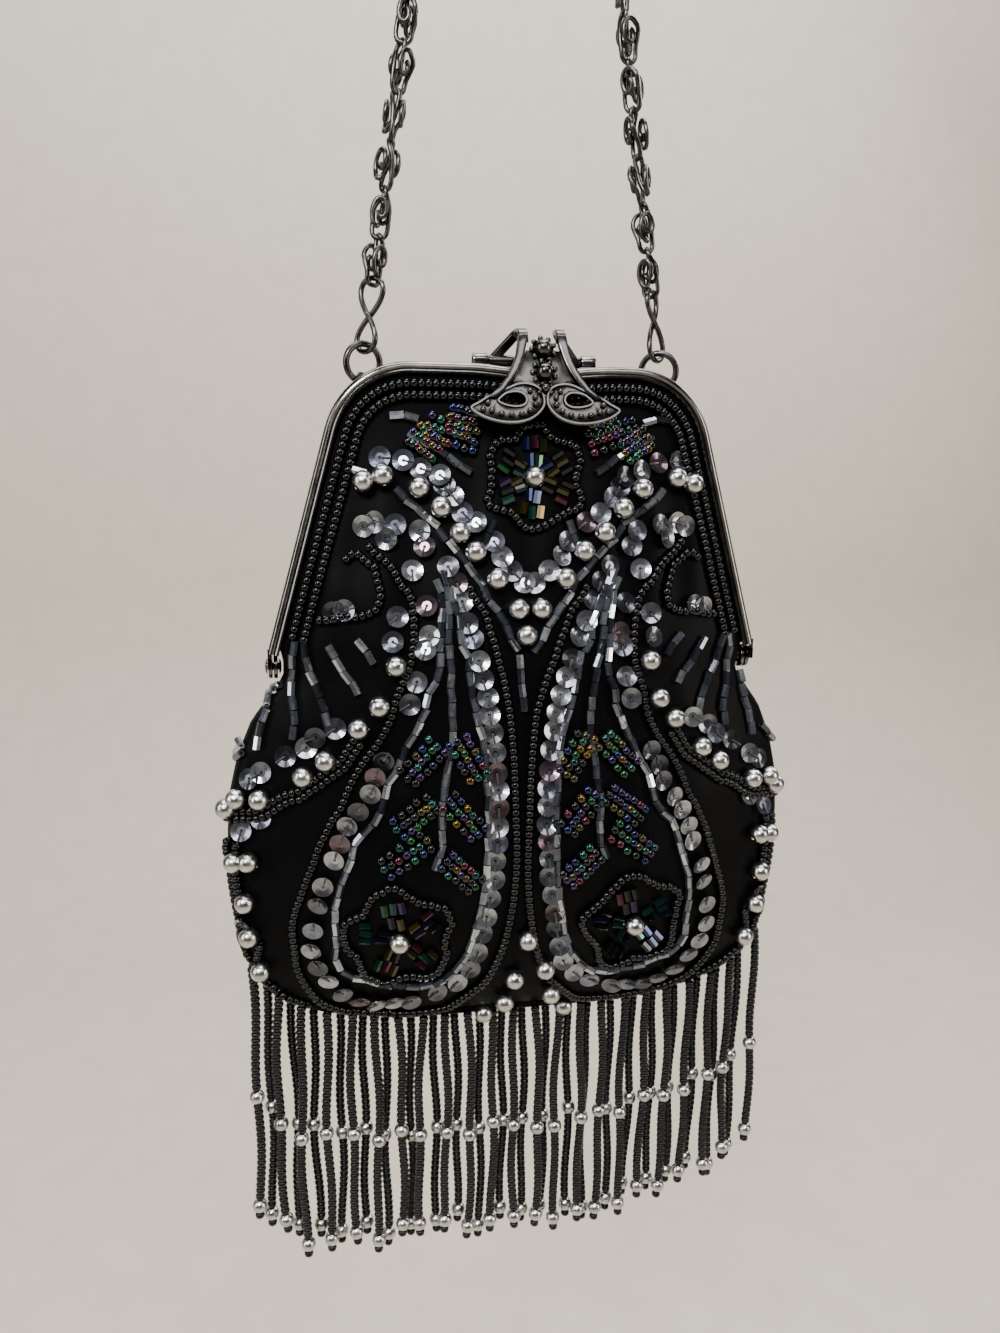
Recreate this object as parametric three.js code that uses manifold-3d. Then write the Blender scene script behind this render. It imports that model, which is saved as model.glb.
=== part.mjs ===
// A beaded evening purse: a cloth pouch on a hinged metal frame, with a lift clasp, a chain and a fringe.
// Millimetres, +Z up, front towards -Y. The origin is the underside of the chain where it hangs on a hook.
import * as THREE from 'three';
import { mergeVertices } from 'three/addons/utils/BufferGeometryUtils.js';
import Module from 'manifold-3d';

const wasm = await Module();
wasm.setup();

// Clearance between pieces that rest on each other
const GAP = 0.3;

// Frame: two half frames, each a channel bar bent to an upside-down U
const RIM_TOP_HALF = 23.6;
const RIM_CORNER = 16;
const RIM_SPLAY = THREE.MathUtils.degToRad(15.5);
const RIM_HEIGHT = 58;
const RIM_DIP = 1;
const RIM_DIP_HALF = 16;
const BAR_WIDTH = 2.4;
const BAR_DEPTH = 4.45;
const BAR_WALL = 0.8;
const BAR_CHAMFER = 0.7;
const FAR_Y = GAP / 2 + BAR_DEPTH;
const TOP_STEPS = 8;
const CORNER_STEPS = 6;

// Hinges at the lower ends of the frame
const EAR_RADIUS = 2.6;
const EAR_THICK = 0.8;
const EAR_RISE = 1.6;
const RIVET_RADIUS = 0.8;
const RIVET_HEAD = 1.6;
const RIVET_HEAD_THICK = 0.5;
const RIVET_ROOM = 0.4;

// Pouch of padded satin, hollow, with its mouth clamped in the frame
const POUCH_DROP = 85.5;
const POUCH_HALF_WIDTH = 64.3;
const POUCH_HALF_DEPTH = 13.8;
const CLOTH = 1.3;
const CLOTH_TUCK = 1;
const SEAM_HALF = 1.35;
const EDGE_EASE = 0.2;
const EDGE_BAND = 1;
const SWELL_BREADTH = 2.3;
const SWELL_ROUND = 0.8;
const ROW_POINTS = 9;

// Shares of the frame height, and of the half depth at that height
const NECK_SECTIONS = [
  { down: 0, depth: 0.25 },
  { down: 0.15, depth: 0.31 },
  { down: 0.37, depth: 0.46 },
  { down: 0.74, depth: 0.7 },
  { down: 1, depth: 0.84 },
];

// Shares of the drop below the hinges, of the flare past the rivets, of the width and of the half depth
const DROP_SECTIONS = [
  { down: 0, flare: 0, round: 1, depth: 0.84 },
  { down: 0.06, flare: 0.01, round: 1, depth: 0.87 },
  { down: 0.1, flare: 0.205, round: 1, depth: 0.89 },
  { down: 0.16, flare: 0.51, round: 1, depth: 0.91 },
  { down: 0.26, flare: 0.79, round: 1, depth: 0.96 },
  { down: 0.37, flare: 0.957, round: 1, depth: 0.99 },
  { down: 0.49, flare: 1, round: 1, depth: 1 },
  { down: 0.63, flare: 0.922, round: 1, depth: 0.94 },
  { down: 0.75, flare: 0.818, round: 1, depth: 0.83 },
  { down: 0.85, flare: 0.69, round: 0.98, depth: 0.68 },
  { down: 0.92, flare: 0.57, round: 0.91, depth: 0.5 },
  { down: 0.96, flare: 0.525, round: 0.78, depth: 0.33 },
  { down: 1, flare: 0.48, round: 0.44, depth: 0.1 },
];

// Creases: ends as shares of the half width and of the drop, with the depth and reach in millimetres
const CREASES = [
  { fromX: 0, fromDown: 0.2, toX: 0, toDown: 0.95, depth: 1.3, reach: 3.5 },
  { fromX: 0.98, fromDown: 0.4, toX: 0.45, toDown: 0.24, depth: 1.7, reach: 4.5 },
  { fromX: -0.98, fromDown: 0.4, toX: -0.45, toDown: 0.24, depth: 1.7, reach: 4.5 },
  { fromX: 0.99, fromDown: 0.62, toX: 0.86, toDown: 0.5, depth: 1.2, reach: 3.5 },
  { fromX: -0.99, fromDown: 0.62, toX: -0.86, toDown: 0.5, depth: 1.2, reach: 3.5 },
];

// Fringe of bead strings under the pouch
const FRINGE_STRINGS = 45;
const FRINGE_LENGTH = 58;
const STRING_RADIUS = 1.05;
const HEADER_HALF_DEPTH = 1.6;
const HEADER_HEIGHT = 2;
const HEADER_START = 0.8;
const STRING_SWAY = 0.7;
const SWAY_STEP = 2.4;

// Clasp: a cast lever over the frame, hinged behind it
const CLASP_SHIFT = 3.7;
const LEVER_TILT = THREE.MathUtils.degToRad(18);
const LEVER_THICK = 1.2;
const LEVER_BACK = 5.7;
const LEVER_RECESS = 0.45;
const LEVER_BORDER = 0.65;
const STRAP_WIDTH = 2.1;
const STRAP_THICK = 1.1;
const STRAP_TOP = 9.3;
const STRAP_LEAN = 1.3;
const STRAP_SPREAD = 0.4;
const STRAP_FALL = 2.6;
const BALL_RADIUS = 1.85;
const KNOB_RADIUS = 0.75;
const HINGE_Y = 3.6;
const HINGE_Z = 3.8;
const BARREL_RADIUS = 1.2;
const BARREL_HALF = 10;
const PIN_RADIUS = 0.6;
const KNUCKLE_RADIUS = 1.5;
const KNUCKLE_LENGTH = 3.2;

// Right half of the lever, across and up from its middle
const ARM_OUTLINE = [
  [5.1, 8.4], [5.7, 5], [6.8, 1.8], [8.6, -1.5], [12.1, -5.2],
  [10.2, -5.5], [7, -1.5], [4.7, 1.8], [3.7, 5], [3, 8.4],
];
const FOOT_OUTLINE = [
  [12.1, -5.2], [15.6, -7.4], [15.2, -8.2], [12.8, -9.5], [10, -10.3], [7, -10.5], [4, -9.9],
  [1.7, -8.5], [0.35, -6.3], [0.5, -4.3], [1.8, -2.7], [4.3, -2.1], [6.6, -2.7], [8.4, -3.3],
];
const EYE_OUTLINE = [
  [9.6, -5.9], [8.3, -4.4], [6.6, -4], [5, -4.2], [4, -5.4], [4.5, -6.7], [6.2, -7.1], [8.2, -6.7],
];
const WEB_OUTLINE = [
  [3.6, 5.2], [4.9, 1.8], [7.2, -1.6], [4.4, -2.6], [1, -6.2],
];
const KNOBS = [[11.2, -7.5], [8.3, -8.4], [5.3, -8.7], [2.7, -8], [1.95, -5.9], [3.6, -3.6]];
const BALLS = [5.4, 0.3];

// Lugs, jump rings and figure-eight connectors between the frame and the chain
const LUG_ANGLE = THREE.MathUtils.degToRad(33);
const LUG_RADIUS = 2;
const LUG_LOW = 0.5;
const LUG_OUT = 1.7;
const LUG_BORE = 1.15;
const LUG_THICK = 1.4;
const LUG_Y = FAR_Y + LUG_OUT;
const RING_RADIUS = 3.88;
const RING_WIRE = 0.72;
const RING_TURN = THREE.MathUtils.degToRad(-22);
const EIGHT_LENGTH = 16.3;
const EIGHT_HALF_WIDTH = 2.85;
const EIGHT_WIRE = 0.6;
const EIGHT_TURN = THREE.MathUtils.degToRad(46);
const EIGHT_KNOT = 1.6;
const EIGHT_STEPS = 10;

// Chain of scroll links, each one bent wire
const CHAIN_LINKS = 36;
const LINK_LENGTH = 10.9;
const LINK_WIDTH = 4.1;
const LINK_DEPTH = 3.9;
const LINK_WIRE = 0.45;
const LINK_BITE = 0.55;
const LINK_TURN = THREE.MathUtils.degToRad(45);
const FIRST_LINK_TURN = THREE.MathUtils.degToRad(-36);
const HOOK_RADIUS = 6;
const WIRE_SIDES = 5;
const HOLE_SIDES = 12;
const ROUND_SIDES = 12;
const CUT_PAST = 3;

// The wire's route as shares of the link's half width, half depth and half length, front scroll first
const LINK_ROUTE = [
  { across: 0.6, deep: -1, along: -0.25 },
  { across: 0.45, deep: -1, along: 0.38 },
  { across: -0.7, deep: -1, along: 0.12 },
  { across: -0.35, deep: -0.75, along: -0.38 },
  { across: 0, deep: 0.5, along: 0.78 },
  { across: 0, deep: 0, along: 1 },
  { across: 0.45, deep: -0.45, along: 0.65 },
  { across: 1, deep: 0.1, along: -0.64 },
  { across: 0.55, deep: 0.1, along: -1 },
  { across: -0.55, deep: 0.1, along: -1 },
  { across: -1, deep: 0.2, along: -0.62 },
  { across: -0.1, deep: 1, along: 0.42 },
  { across: 0.6, deep: 1, along: -0.05 },
];

const METAL = { color: 0x77736f, roughness: 0.28, metalness: 1 };
const SATIN = { color: 0x0c0c10, roughness: 0.55, metalness: 0 };
const BEADS = { color: 0x111114, roughness: 0.25, metalness: 0.3 };

// Value of one column of a table of shares, eased between its rows
function columnAt(rows, column, share) {
  const at = THREE.MathUtils.clamp(share, 0, 1);
  let i = 0;
  while (i < rows.length - 2 && rows[i + 1].down < at) {
    i += 1;
  }
  const before = rows[Math.max(i - 1, 0)];
  const a = rows[i];
  const b = rows[i + 1];
  const after = rows[Math.min(i + 2, rows.length - 1)];
  const t = (at - a.down) / (b.down - a.down);
  const slopeA = ((b[column] - before[column]) / (b.down - before.down)) * (b.down - a.down);
  const slopeB = ((after[column] - a[column]) / (after.down - a.down)) * (b.down - a.down);
  const t2 = t * t;
  const t3 = t2 * t;
  return (2 * t3 - 3 * t2 + 1) * a[column] + (t3 - 2 * t2 + t) * slopeA
    + (3 * t2 - 2 * t3) * b[column] + (t3 - t2) * slopeB;
}

// Triangles of a flat outline, turning the way that the outline does
function fill(outline) {
  const faces = THREE.ShapeUtils.triangulateShape(outline, []);
  return THREE.ShapeUtils.area(outline) > 0 ? faces : faces.map(([a, b, c]) => [c, b, a]);
}

// Closed surface through rings of equal length; both ends are closed by the same faces of a ring
function skin(rings, endFaces) {
  const count = rings[0].length;
  const points = rings.flat();
  const faces = [];
  for (let r = 0; r < rings.length - 1; r += 1) {
    for (let i = 0; i < count; i += 1) {
      const a = r * count + i;
      const b = r * count + ((i + 1) % count);
      faces.push([a, b, b + count], [a, b + count, a + count]);
    }
  }
  const last = (rings.length - 1) * count;
  faces.push(...endFaces.map(([a, b, c]) => [c, b, a]));
  faces.push(...endFaces.map(([a, b, c]) => [last + a, last + b, last + c]));
  let volume = 0;
  for (const [a, b, c] of faces) {
    volume += points[a].dot(new THREE.Vector3().crossVectors(points[b], points[c]));
  }
  const geometry = new THREE.BufferGeometry().setFromPoints(points);
  geometry.setIndex(faces.flatMap(([a, b, c]) => (volume > 0 ? [a, b, c] : [c, b, a])));
  return geometry;
}

// A geometry as a solid that can be joined and cut
function solid(geometry) {
  const clean = geometry.clone();
  clean.deleteAttribute('normal');
  clean.deleteAttribute('uv');
  const merged = mergeVertices(clean, 1e-4);
  return new wasm.Manifold(new wasm.Mesh({
    numProp: 3,
    vertProperties: new Float32Array(merged.attributes.position.array),
    triVerts: new Uint32Array(merged.index.array),
  }));
}

function geometryOf(body) {
  const mesh = body.getMesh();
  const geometry = new THREE.BufferGeometry();
  geometry.setAttribute('position', new THREE.BufferAttribute(new Float32Array(mesh.vertProperties), 3));
  geometry.setIndex(new THREE.BufferAttribute(new Uint32Array(mesh.triVerts), 1));
  return geometry;
}

function join(solids) {
  return solids.reduce((whole, piece) => whole.add(piece));
}

function box(low, high) {
  const geometry = new THREE.BoxGeometry(high[0] - low[0], high[1] - low[1], high[2] - low[2]);
  return solid(geometry.translate((low[0] + high[0]) / 2, (low[1] + high[1]) / 2, (low[2] + high[2]) / 2));
}

// Round bar along the X axis, or along another direction
function rod(radius, length, centre, sides, direction = new THREE.Vector3(1, 0, 0)) {
  const turn = new THREE.Quaternion().setFromUnitVectors(new THREE.Vector3(0, 1, 0), direction);
  const geometry = new THREE.CylinderGeometry(radius, radius, length, sides).applyQuaternion(turn);
  return solid(geometry.translate(...centre));
}

// Hole about a round bar, with the clearance kept at the middles of its flat sides
function holeRound(radius, length, centre) {
  return rod((radius + GAP) / Math.cos(Math.PI / HOLE_SIDES), length, centre, HOLE_SIDES);
}

// A curve whose stations are its own listed points
class WireCurve extends THREE.CatmullRomCurve3 {
  getUtoTmapping(u) {
    return u;
  }
}

function wire(points, radius, sides) {
  const section = new THREE.Shape();
  for (let i = 0; i < sides; i += 1) {
    const angle = (2 * Math.PI * i) / sides;
    const x = radius * Math.cos(angle);
    const y = radius * Math.sin(angle);
    if (i === 0) {
      section.moveTo(x, y);
    } else {
      section.lineTo(x, y);
    }
  }
  const curve = new WireCurve(points, false, 'centripetal');
  return new THREE.ExtrudeGeometry(section, { steps: points.length - 1, bevelEnabled: false, extrudePath: curve });
}

// Frame rim: how far the top bar dips under the clasp, and how wide the rim is at a height
function rimDip(x) {
  const share = THREE.MathUtils.clamp((x - CLASP_SHIFT) / RIM_DIP_HALF, -1, 1);
  return RIM_DIP * Math.cos((share * Math.PI) / 2) ** 2;
}

function rimHalfWidth(z, offset) {
  const radius = RIM_CORNER + offset;
  const sweep = Math.PI / 2 - RIM_SPLAY;
  const cornerEnd = -RIM_CORNER + radius * Math.cos(sweep);
  if (z > cornerEnd) {
    const rise = Math.min(z + RIM_CORNER, radius);
    return RIM_TOP_HALF + Math.sqrt(radius ** 2 - rise ** 2);
  }
  return RIM_TOP_HALF + radius * Math.sin(sweep) + (cornerEnd - z) * Math.tan(RIM_SPLAY);
}

// Stations of the rim from the left hinge over the top to the right one, each with its outward direction
function rimStations() {
  const right = [];
  const sweep = Math.PI / 2 - RIM_SPLAY;
  for (let i = 1; i <= CORNER_STEPS; i += 1) {
    const angle = (sweep * i) / CORNER_STEPS;
    const outX = Math.sin(angle);
    const outZ = Math.cos(angle);
    right.push({ x: RIM_TOP_HALF + RIM_CORNER * outX, z: RIM_CORNER * (outZ - 1), outX, outZ });
  }
  const { outX, outZ } = right[right.length - 1];
  right.push({ x: rimHalfWidth(-RIM_HEIGHT, 0), z: -RIM_HEIGHT, outX, outZ });
  const left = right.map((s) => ({ x: -s.x, z: s.z, outX: -s.outX, outZ: s.outZ })).reverse();
  const top = [];
  for (let i = 0; i <= TOP_STEPS; i += 1) {
    const x = RIM_TOP_HALF * ((2 * i) / TOP_STEPS - 1);
    top.push({ x, z: -rimDip(x), outX: 0, outZ: 1 });
  }
  return [...left, ...top, ...right];
}

// Bar swept along stations: each profile point is an outward distance and a depth
function sweptBar(stations, profile) {
  const rings = stations.map((s) => profile.map(([out, y]) => (
    new THREE.Vector3(s.x + s.outX * out, y, s.z + s.outZ * out))));
  return skin(rings, fill(profile.map(([out, y]) => new THREE.Vector2(out, y))));
}

// One half frame's channel; side is -1 at the front and 1 at the back
function frameBar(side) {
  const near = GAP / 2;
  const far = near + BAR_DEPTH;
  const profile = [
    [0, far], [BAR_WIDTH - BAR_CHAMFER, far], [BAR_WIDTH, far - BAR_CHAMFER], [BAR_WIDTH, near],
    [0, near], [0, near + BAR_WALL], [BAR_WIDTH - BAR_WALL, near + BAR_WALL],
    [BAR_WIDTH - BAR_WALL, far - BAR_WALL], [0, far - BAR_WALL],
  ];
  return solid(sweptBar(rimStations(), profile.map(([out, y]) => [out, side * y])));
}

// Hinge stack from the outside in: front ear, back ear; both hang under the ends of the bars
const END = rimStations().pop();
const EAR_OUT = END.x + END.outX * BAR_WIDTH;
const EAR_STEP = EAR_THICK + GAP;
const EAR_Z = -RIM_HEIGHT - GAP - EAR_RADIUS;
const RIVET_INSIDE = EAR_OUT - EAR_STEP - EAR_THICK - GAP;

function frameEar(side, mirror) {
  const end = side < 0 ? EAR_OUT : EAR_OUT - EAR_STEP;
  const start = end - EAR_THICK;
  const under = box([start, GAP / 2, EAR_Z], [end, FAR_Y, -RIM_HEIGHT - GAP]);
  const flange = box([start, FAR_Y - BAR_WALL, EAR_Z], [end, FAR_Y, -RIM_HEIGHT + EAR_RISE]);
  const disc = rod(EAR_RADIUS, EAR_THICK, [(start + end) / 2, 0, EAR_Z], ROUND_SIDES);
  const plate = join([under, flange]).scale([1, side, 1]).add(disc);
  const ear = plate.subtract(holeRound(RIVET_RADIUS, EAR_THICK + CUT_PAST, [(start + end) / 2, 0, EAR_Z]));
  return mirror ? ear.scale([-1, 1, 1]) : ear;
}

function frameFront() {
  return join([frameBar(-1), frameEar(-1, false), frameEar(-1, true)]);
}

// Middle of the right lug's hole, on the back of the frame's corner
function lugCentre() {
  const reach = RIM_CORNER + BAR_WIDTH - LUG_LOW;
  return {
    x: RIM_TOP_HALF + reach * Math.sin(LUG_ANGLE),
    z: -RIM_CORNER + reach * Math.cos(LUG_ANGLE),
  };
}

// Fixed knuckle of the clasp's hinge on the back half frame
function claspKnuckle(side) {
  const middle = CLASP_SHIFT + side * (BARREL_HALF + GAP + KNUCKLE_LENGTH / 2);
  const half = KNUCKLE_LENGTH / 2;
  const seat = box(
    [middle - half, HINGE_Y - KNUCKLE_RADIUS + GAP, BAR_WIDTH - BAR_WALL / 2 - rimDip(middle)],
    [middle + half, FAR_Y, HINGE_Z],
  );
  const round = rod(KNUCKLE_RADIUS, KNUCKLE_LENGTH, [middle, HINGE_Y, HINGE_Z], ROUND_SIDES);
  const bore = holeRound(PIN_RADIUS, KNUCKLE_LENGTH + CUT_PAST, [middle, HINGE_Y, HINGE_Z]);
  return join([seat, round]).subtract(bore);
}

function frameBack(hang) {
  const lug = lugCentre();
  const across = new THREE.Vector3(Math.cos(RING_TURN), Math.sin(RING_TURN), 0);
  across.applyAxisAngle(new THREE.Vector3(0, 1, 0), -hang.lean);
  const disc = rod(LUG_RADIUS, LUG_THICK, [lug.x, LUG_Y, lug.z], ROUND_SIDES, across);
  const bored = disc.subtract(rod(LUG_BORE, LUG_THICK + CUT_PAST, [lug.x, LUG_Y, lug.z], ROUND_SIDES, across));
  return join([
    frameBar(1), frameEar(1, false), frameEar(1, true), claspKnuckle(-1), claspKnuckle(1),
    bored, bored.scale([-1, 1, 1]),
  ]);
}

function hingeRivet(mirror) {
  const out = EAR_OUT + GAP;
  const middle = (out + RIVET_INSIDE) / 2;
  const shank = rod(RIVET_RADIUS, out - RIVET_INSIDE + RIVET_HEAD_THICK, [middle, 0, EAR_Z], ROUND_SIDES);
  const heads = [out + RIVET_HEAD_THICK / 2, RIVET_INSIDE - RIVET_HEAD_THICK / 2].map((x) => (
    rod(RIVET_HEAD, RIVET_HEAD_THICK, [x, 0, EAR_Z], ROUND_SIDES)));
  const rivet = join([shank, ...heads]);
  return mirror ? rivet.scale([-1, 1, 1]) : rivet;
}

// Pouch: half width, half depth and creases at any place
function pouchHalfWidth(z) {
  if (z > -RIM_HEIGHT) {
    return rimHalfWidth(z, CLOTH_TUCK);
  }
  const down = (-RIM_HEIGHT - z) / POUCH_DROP;
  const beside = RIVET_INSIDE - RIVET_HEAD_THICK - RIVET_ROOM;
  const flare = columnAt(DROP_SECTIONS, 'flare', down);
  return (beside + (POUCH_HALF_WIDTH - beside) * flare) * columnAt(DROP_SECTIONS, 'round', down);
}

function creaseDepth(x, z) {
  let total = 0;
  for (const crease of CREASES) {
    const x0 = crease.fromX * POUCH_HALF_WIDTH;
    const z0 = -RIM_HEIGHT - crease.fromDown * POUCH_DROP;
    const dx = crease.toX * POUCH_HALF_WIDTH - x0;
    const dz = -RIM_HEIGHT - crease.toDown * POUCH_DROP - z0;
    const t = THREE.MathUtils.clamp(((x - x0) * dx + (z - z0) * dz) / (dx * dx + dz * dz), 0, 1);
    const distance = Math.hypot(x - x0 - t * dx, z - z0 - t * dz);
    total += crease.depth * Math.exp(-((distance / crease.reach) ** 2));
  }
  return total;
}

const MOUTH_HALF = FAR_Y - BAR_WALL - GAP;

// Half width of the panels between the edges: clear of the frame in the neck, the whole width below it
function panelHalfWidth(z) {
  if (z > -RIM_HEIGHT) {
    return rimHalfWidth(z, -GAP);
  }
  const down = (-RIM_HEIGHT - z) / POUCH_DROP;
  return pouchHalfWidth(z) - (CLOTH_TUCK + GAP) * (1 - THREE.MathUtils.smoothstep(down, 0, EDGE_EASE));
}

function pouchHalfDepth(x, z) {
  const inNeck = z > -RIM_HEIGHT;
  const down = inNeck ? -z / RIM_HEIGHT : (-RIM_HEIGHT - z) / POUCH_DROP;
  const depth = POUCH_HALF_DEPTH * columnAt(inNeck ? NECK_SECTIONS : DROP_SECTIONS, 'depth', down);
  const ease = THREE.MathUtils.smoothstep(inNeck ? 0 : down, 0, EDGE_EASE);
  const edge = THREE.MathUtils.lerp(MOUTH_HALF, SEAM_HALF, ease);
  const share = Math.min(Math.abs(x) / panelHalfWidth(z), 1);
  const swell = (1 - share ** SWELL_BREADTH) ** SWELL_ROUND;
  const full = Math.max(depth, edge);
  return Math.max(edge + (full - edge) * swell - creaseDepth(x, z) * swell, edge);
}

// One row of the pouch: across the front, then back across the rear
function pouchRow(z, halfWidth, shrink) {
  const panel = Math.min(panelHalfWidth(z), halfWidth - EDGE_BAND);
  const across = [-halfWidth];
  for (let i = 0; i <= ROW_POINTS; i += 1) {
    const even = (2 * i) / ROW_POINTS - 1;
    across.push(panel * (even - Math.cos((Math.PI * i) / ROW_POINTS)) / 2);
  }
  across.push(halfWidth);
  const front = across.map((x) => {
    const drop = rimDip(x) * THREE.MathUtils.smoothstep(z, -RIM_CORNER, -RIM_DIP);
    return new THREE.Vector3(x, -(pouchHalfDepth(x, z) - shrink), z - drop);
  });
  const rear = front.map((p) => new THREE.Vector3(p.x, -p.y, p.z)).reverse();
  return [...front, ...rear];
}

const NECK_ROWS = [0.01, 0.05, 0.12, 0.22, 0.4, 0.65, 0.95];
const DROP_ROWS = [0.01, 0.06, 0.105, 0.17, 0.26, 0.37, 0.49, 0.61, 0.73, 0.84, 0.92, 0.965, 1];

// Faces that close a row, each front point paired with the rear one behind it
function pairedFaces(count) {
  const faces = [];
  for (let i = 0; i < count / 2 - 1; i += 1) {
    faces.push([i, i + 1, count - 2 - i], [i, count - 2 - i, count - 1 - i]);
  }
  return faces;
}

function pouchShell() {
  const neck = NECK_ROWS.map((share) => -share * RIM_HEIGHT);
  const drop = DROP_ROWS.map((share) => -RIM_HEIGHT - share * POUCH_DROP);
  const outer = [CLOTH_TUCK, ...neck, ...drop].map((z) => pouchRow(z, pouchHalfWidth(z), 0));
  const opening = CLOTH_TUCK + CUT_PAST;
  const inner = [
    ...[opening, ...neck].map((z) => pouchRow(z, pouchHalfWidth(Math.min(z, 0)) + CUT_PAST, CLOTH)),
    ...drop.slice(0, -1).map((z) => pouchRow(z, pouchHalfWidth(z) - CLOTH, CLOTH)),
  ];
  const ends = pairedFaces(outer[0].length);
  return solid(skin(outer, ends)).subtract(solid(skin(inner, ends)));
}

// Lower edge of the pouch from the left corner to the right one
function lowerEdge() {
  const right = DROP_ROWS.filter((share) => share > HEADER_START).map((share) => {
    const z = -RIM_HEIGHT - share * POUCH_DROP;
    return { x: pouchHalfWidth(z), z };
  });
  const bottom = right[right.length - 1];
  const left = right.map((p) => ({ x: -p.x, z: p.z }));
  return [...left, { x: 0, z: bottom.z }, ...right.reverse()];
}

function edgeStations() {
  const edge = lowerEdge();
  return edge.map((point, i) => {
    const before = edge[Math.max(i - 1, 0)];
    const after = edge[Math.min(i + 1, edge.length - 1)];
    const length = Math.hypot(after.x - before.x, after.z - before.z);
    const outX = (after.z - before.z) / length;
    const outZ = -(after.x - before.x) / length;
    return { ...point, outX, outZ };
  });
}

function edgeHeight(stations, x, out) {
  for (let i = 0; i < stations.length - 1; i += 1) {
    const a = stations[i];
    const b = stations[i + 1];
    const ax = a.x + a.outX * out;
    const bx = b.x + b.outX * out;
    if (x >= ax && x <= bx) {
      return THREE.MathUtils.mapLinear(x, ax, bx, a.z + a.outZ * out, b.z + b.outZ * out);
    }
  }
  return stations[0].z;
}

function fringe() {
  const stations = edgeStations();
  const near = GAP;
  const far = GAP + HEADER_HEIGHT;
  const profile = [
    [near, -HEADER_HALF_DEPTH], [near, HEADER_HALF_DEPTH],
    [far, HEADER_HALF_DEPTH], [far, -HEADER_HALF_DEPTH],
  ];
  const pieces = [solid(sweptBar(stations, profile))];
  const middle = (near + far) / 2;
  const reach = stations[stations.length - 1].x + stations[stations.length - 1].outX * middle - GAP;
  for (let i = 0; i < FRINGE_STRINGS; i += 1) {
    const x = reach * ((2 * i) / (FRINGE_STRINGS - 1) - 1);
    const y = (i % 2 === 0 ? -1 : 1) * (HEADER_HALF_DEPTH - GAP);
    const top = edgeHeight(stations, x, middle);
    const sway = STRING_SWAY * Math.sin(i * SWAY_STEP);
    const ends = [new THREE.Vector3(x, y, top), new THREE.Vector3(x + sway, y, top - FRINGE_LENGTH)];
    pieces.push(solid(wire(ends, STRING_RADIUS, WIRE_SIDES)));
  }
  return join(pieces);
}

// Clasp lever: flat outlines thickened, with raised borders and knobs, joined to straps and a barrel
function plate(outline, thick, holes = []) {
  const shape = new THREE.Shape(outline.map(([x, y]) => new THREE.Vector2(x, y)));
  for (const hole of holes) {
    shape.holes.push(new THREE.Path(hole.map(([x, y]) => new THREE.Vector2(x, y))));
  }
  return new THREE.ExtrudeGeometry(shape, { depth: thick, bevelEnabled: false, steps: 1 });
}

// Outline moved inwards, or outwards for a negative distance
function inset(outline, distance) {
  const turn = Math.sign(THREE.ShapeUtils.area(outline.map(([x, y]) => new THREE.Vector2(x, y))));
  return outline.map(([x, y], i) => {
    const [px, py] = outline[(i + outline.length - 1) % outline.length];
    const [nx, ny] = outline[(i + 1) % outline.length];
    const length = Math.hypot(nx - px, ny - py);
    return [x - (turn * distance * (ny - py)) / length, y + (turn * distance * (nx - px)) / length];
  });
}

function leverHalf() {
  const foot = solid(plate(FOOT_OUTLINE, LEVER_THICK, [EYE_OUTLINE]));
  const eyeBorder = solid(plate(inset(EYE_OUTLINE, -LEVER_BORDER), LEVER_THICK));
  const hollow = solid(plate(inset(FOOT_OUTLINE, LEVER_BORDER), LEVER_THICK)).subtract(eyeBorder);
  const arm = solid(plate(ARM_OUTLINE, LEVER_THICK + GAP));
  const knobs = KNOBS.map(([x, y]) => solid(
    new THREE.SphereGeometry(KNOB_RADIUS, 6, 3).translate(x, y, LEVER_THICK - LEVER_RECESS)));
  const recessed = foot.subtract(hollow.translate([0, 0, LEVER_THICK - LEVER_RECESS]));
  return join([recessed, arm, ...knobs]);
}

// Flat strap from one place to another, as wide as the lever's arm
function strap(from, to) {
  const along = new THREE.Vector3().subVectors(to, from);
  const length = along.length() + STRAP_THICK;
  along.normalize();
  const across = new THREE.Vector3(1, 0, 0).addScaledVector(along, -along.x).normalize();
  const out = new THREE.Vector3().crossVectors(across, along);
  const place = new THREE.Matrix4().makeBasis(across, along, out);
  place.setPosition(new THREE.Vector3().addVectors(from, to).multiplyScalar(0.5));
  return solid(new THREE.BoxGeometry(STRAP_WIDTH, length, STRAP_THICK).applyMatrix4(place));
}

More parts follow.
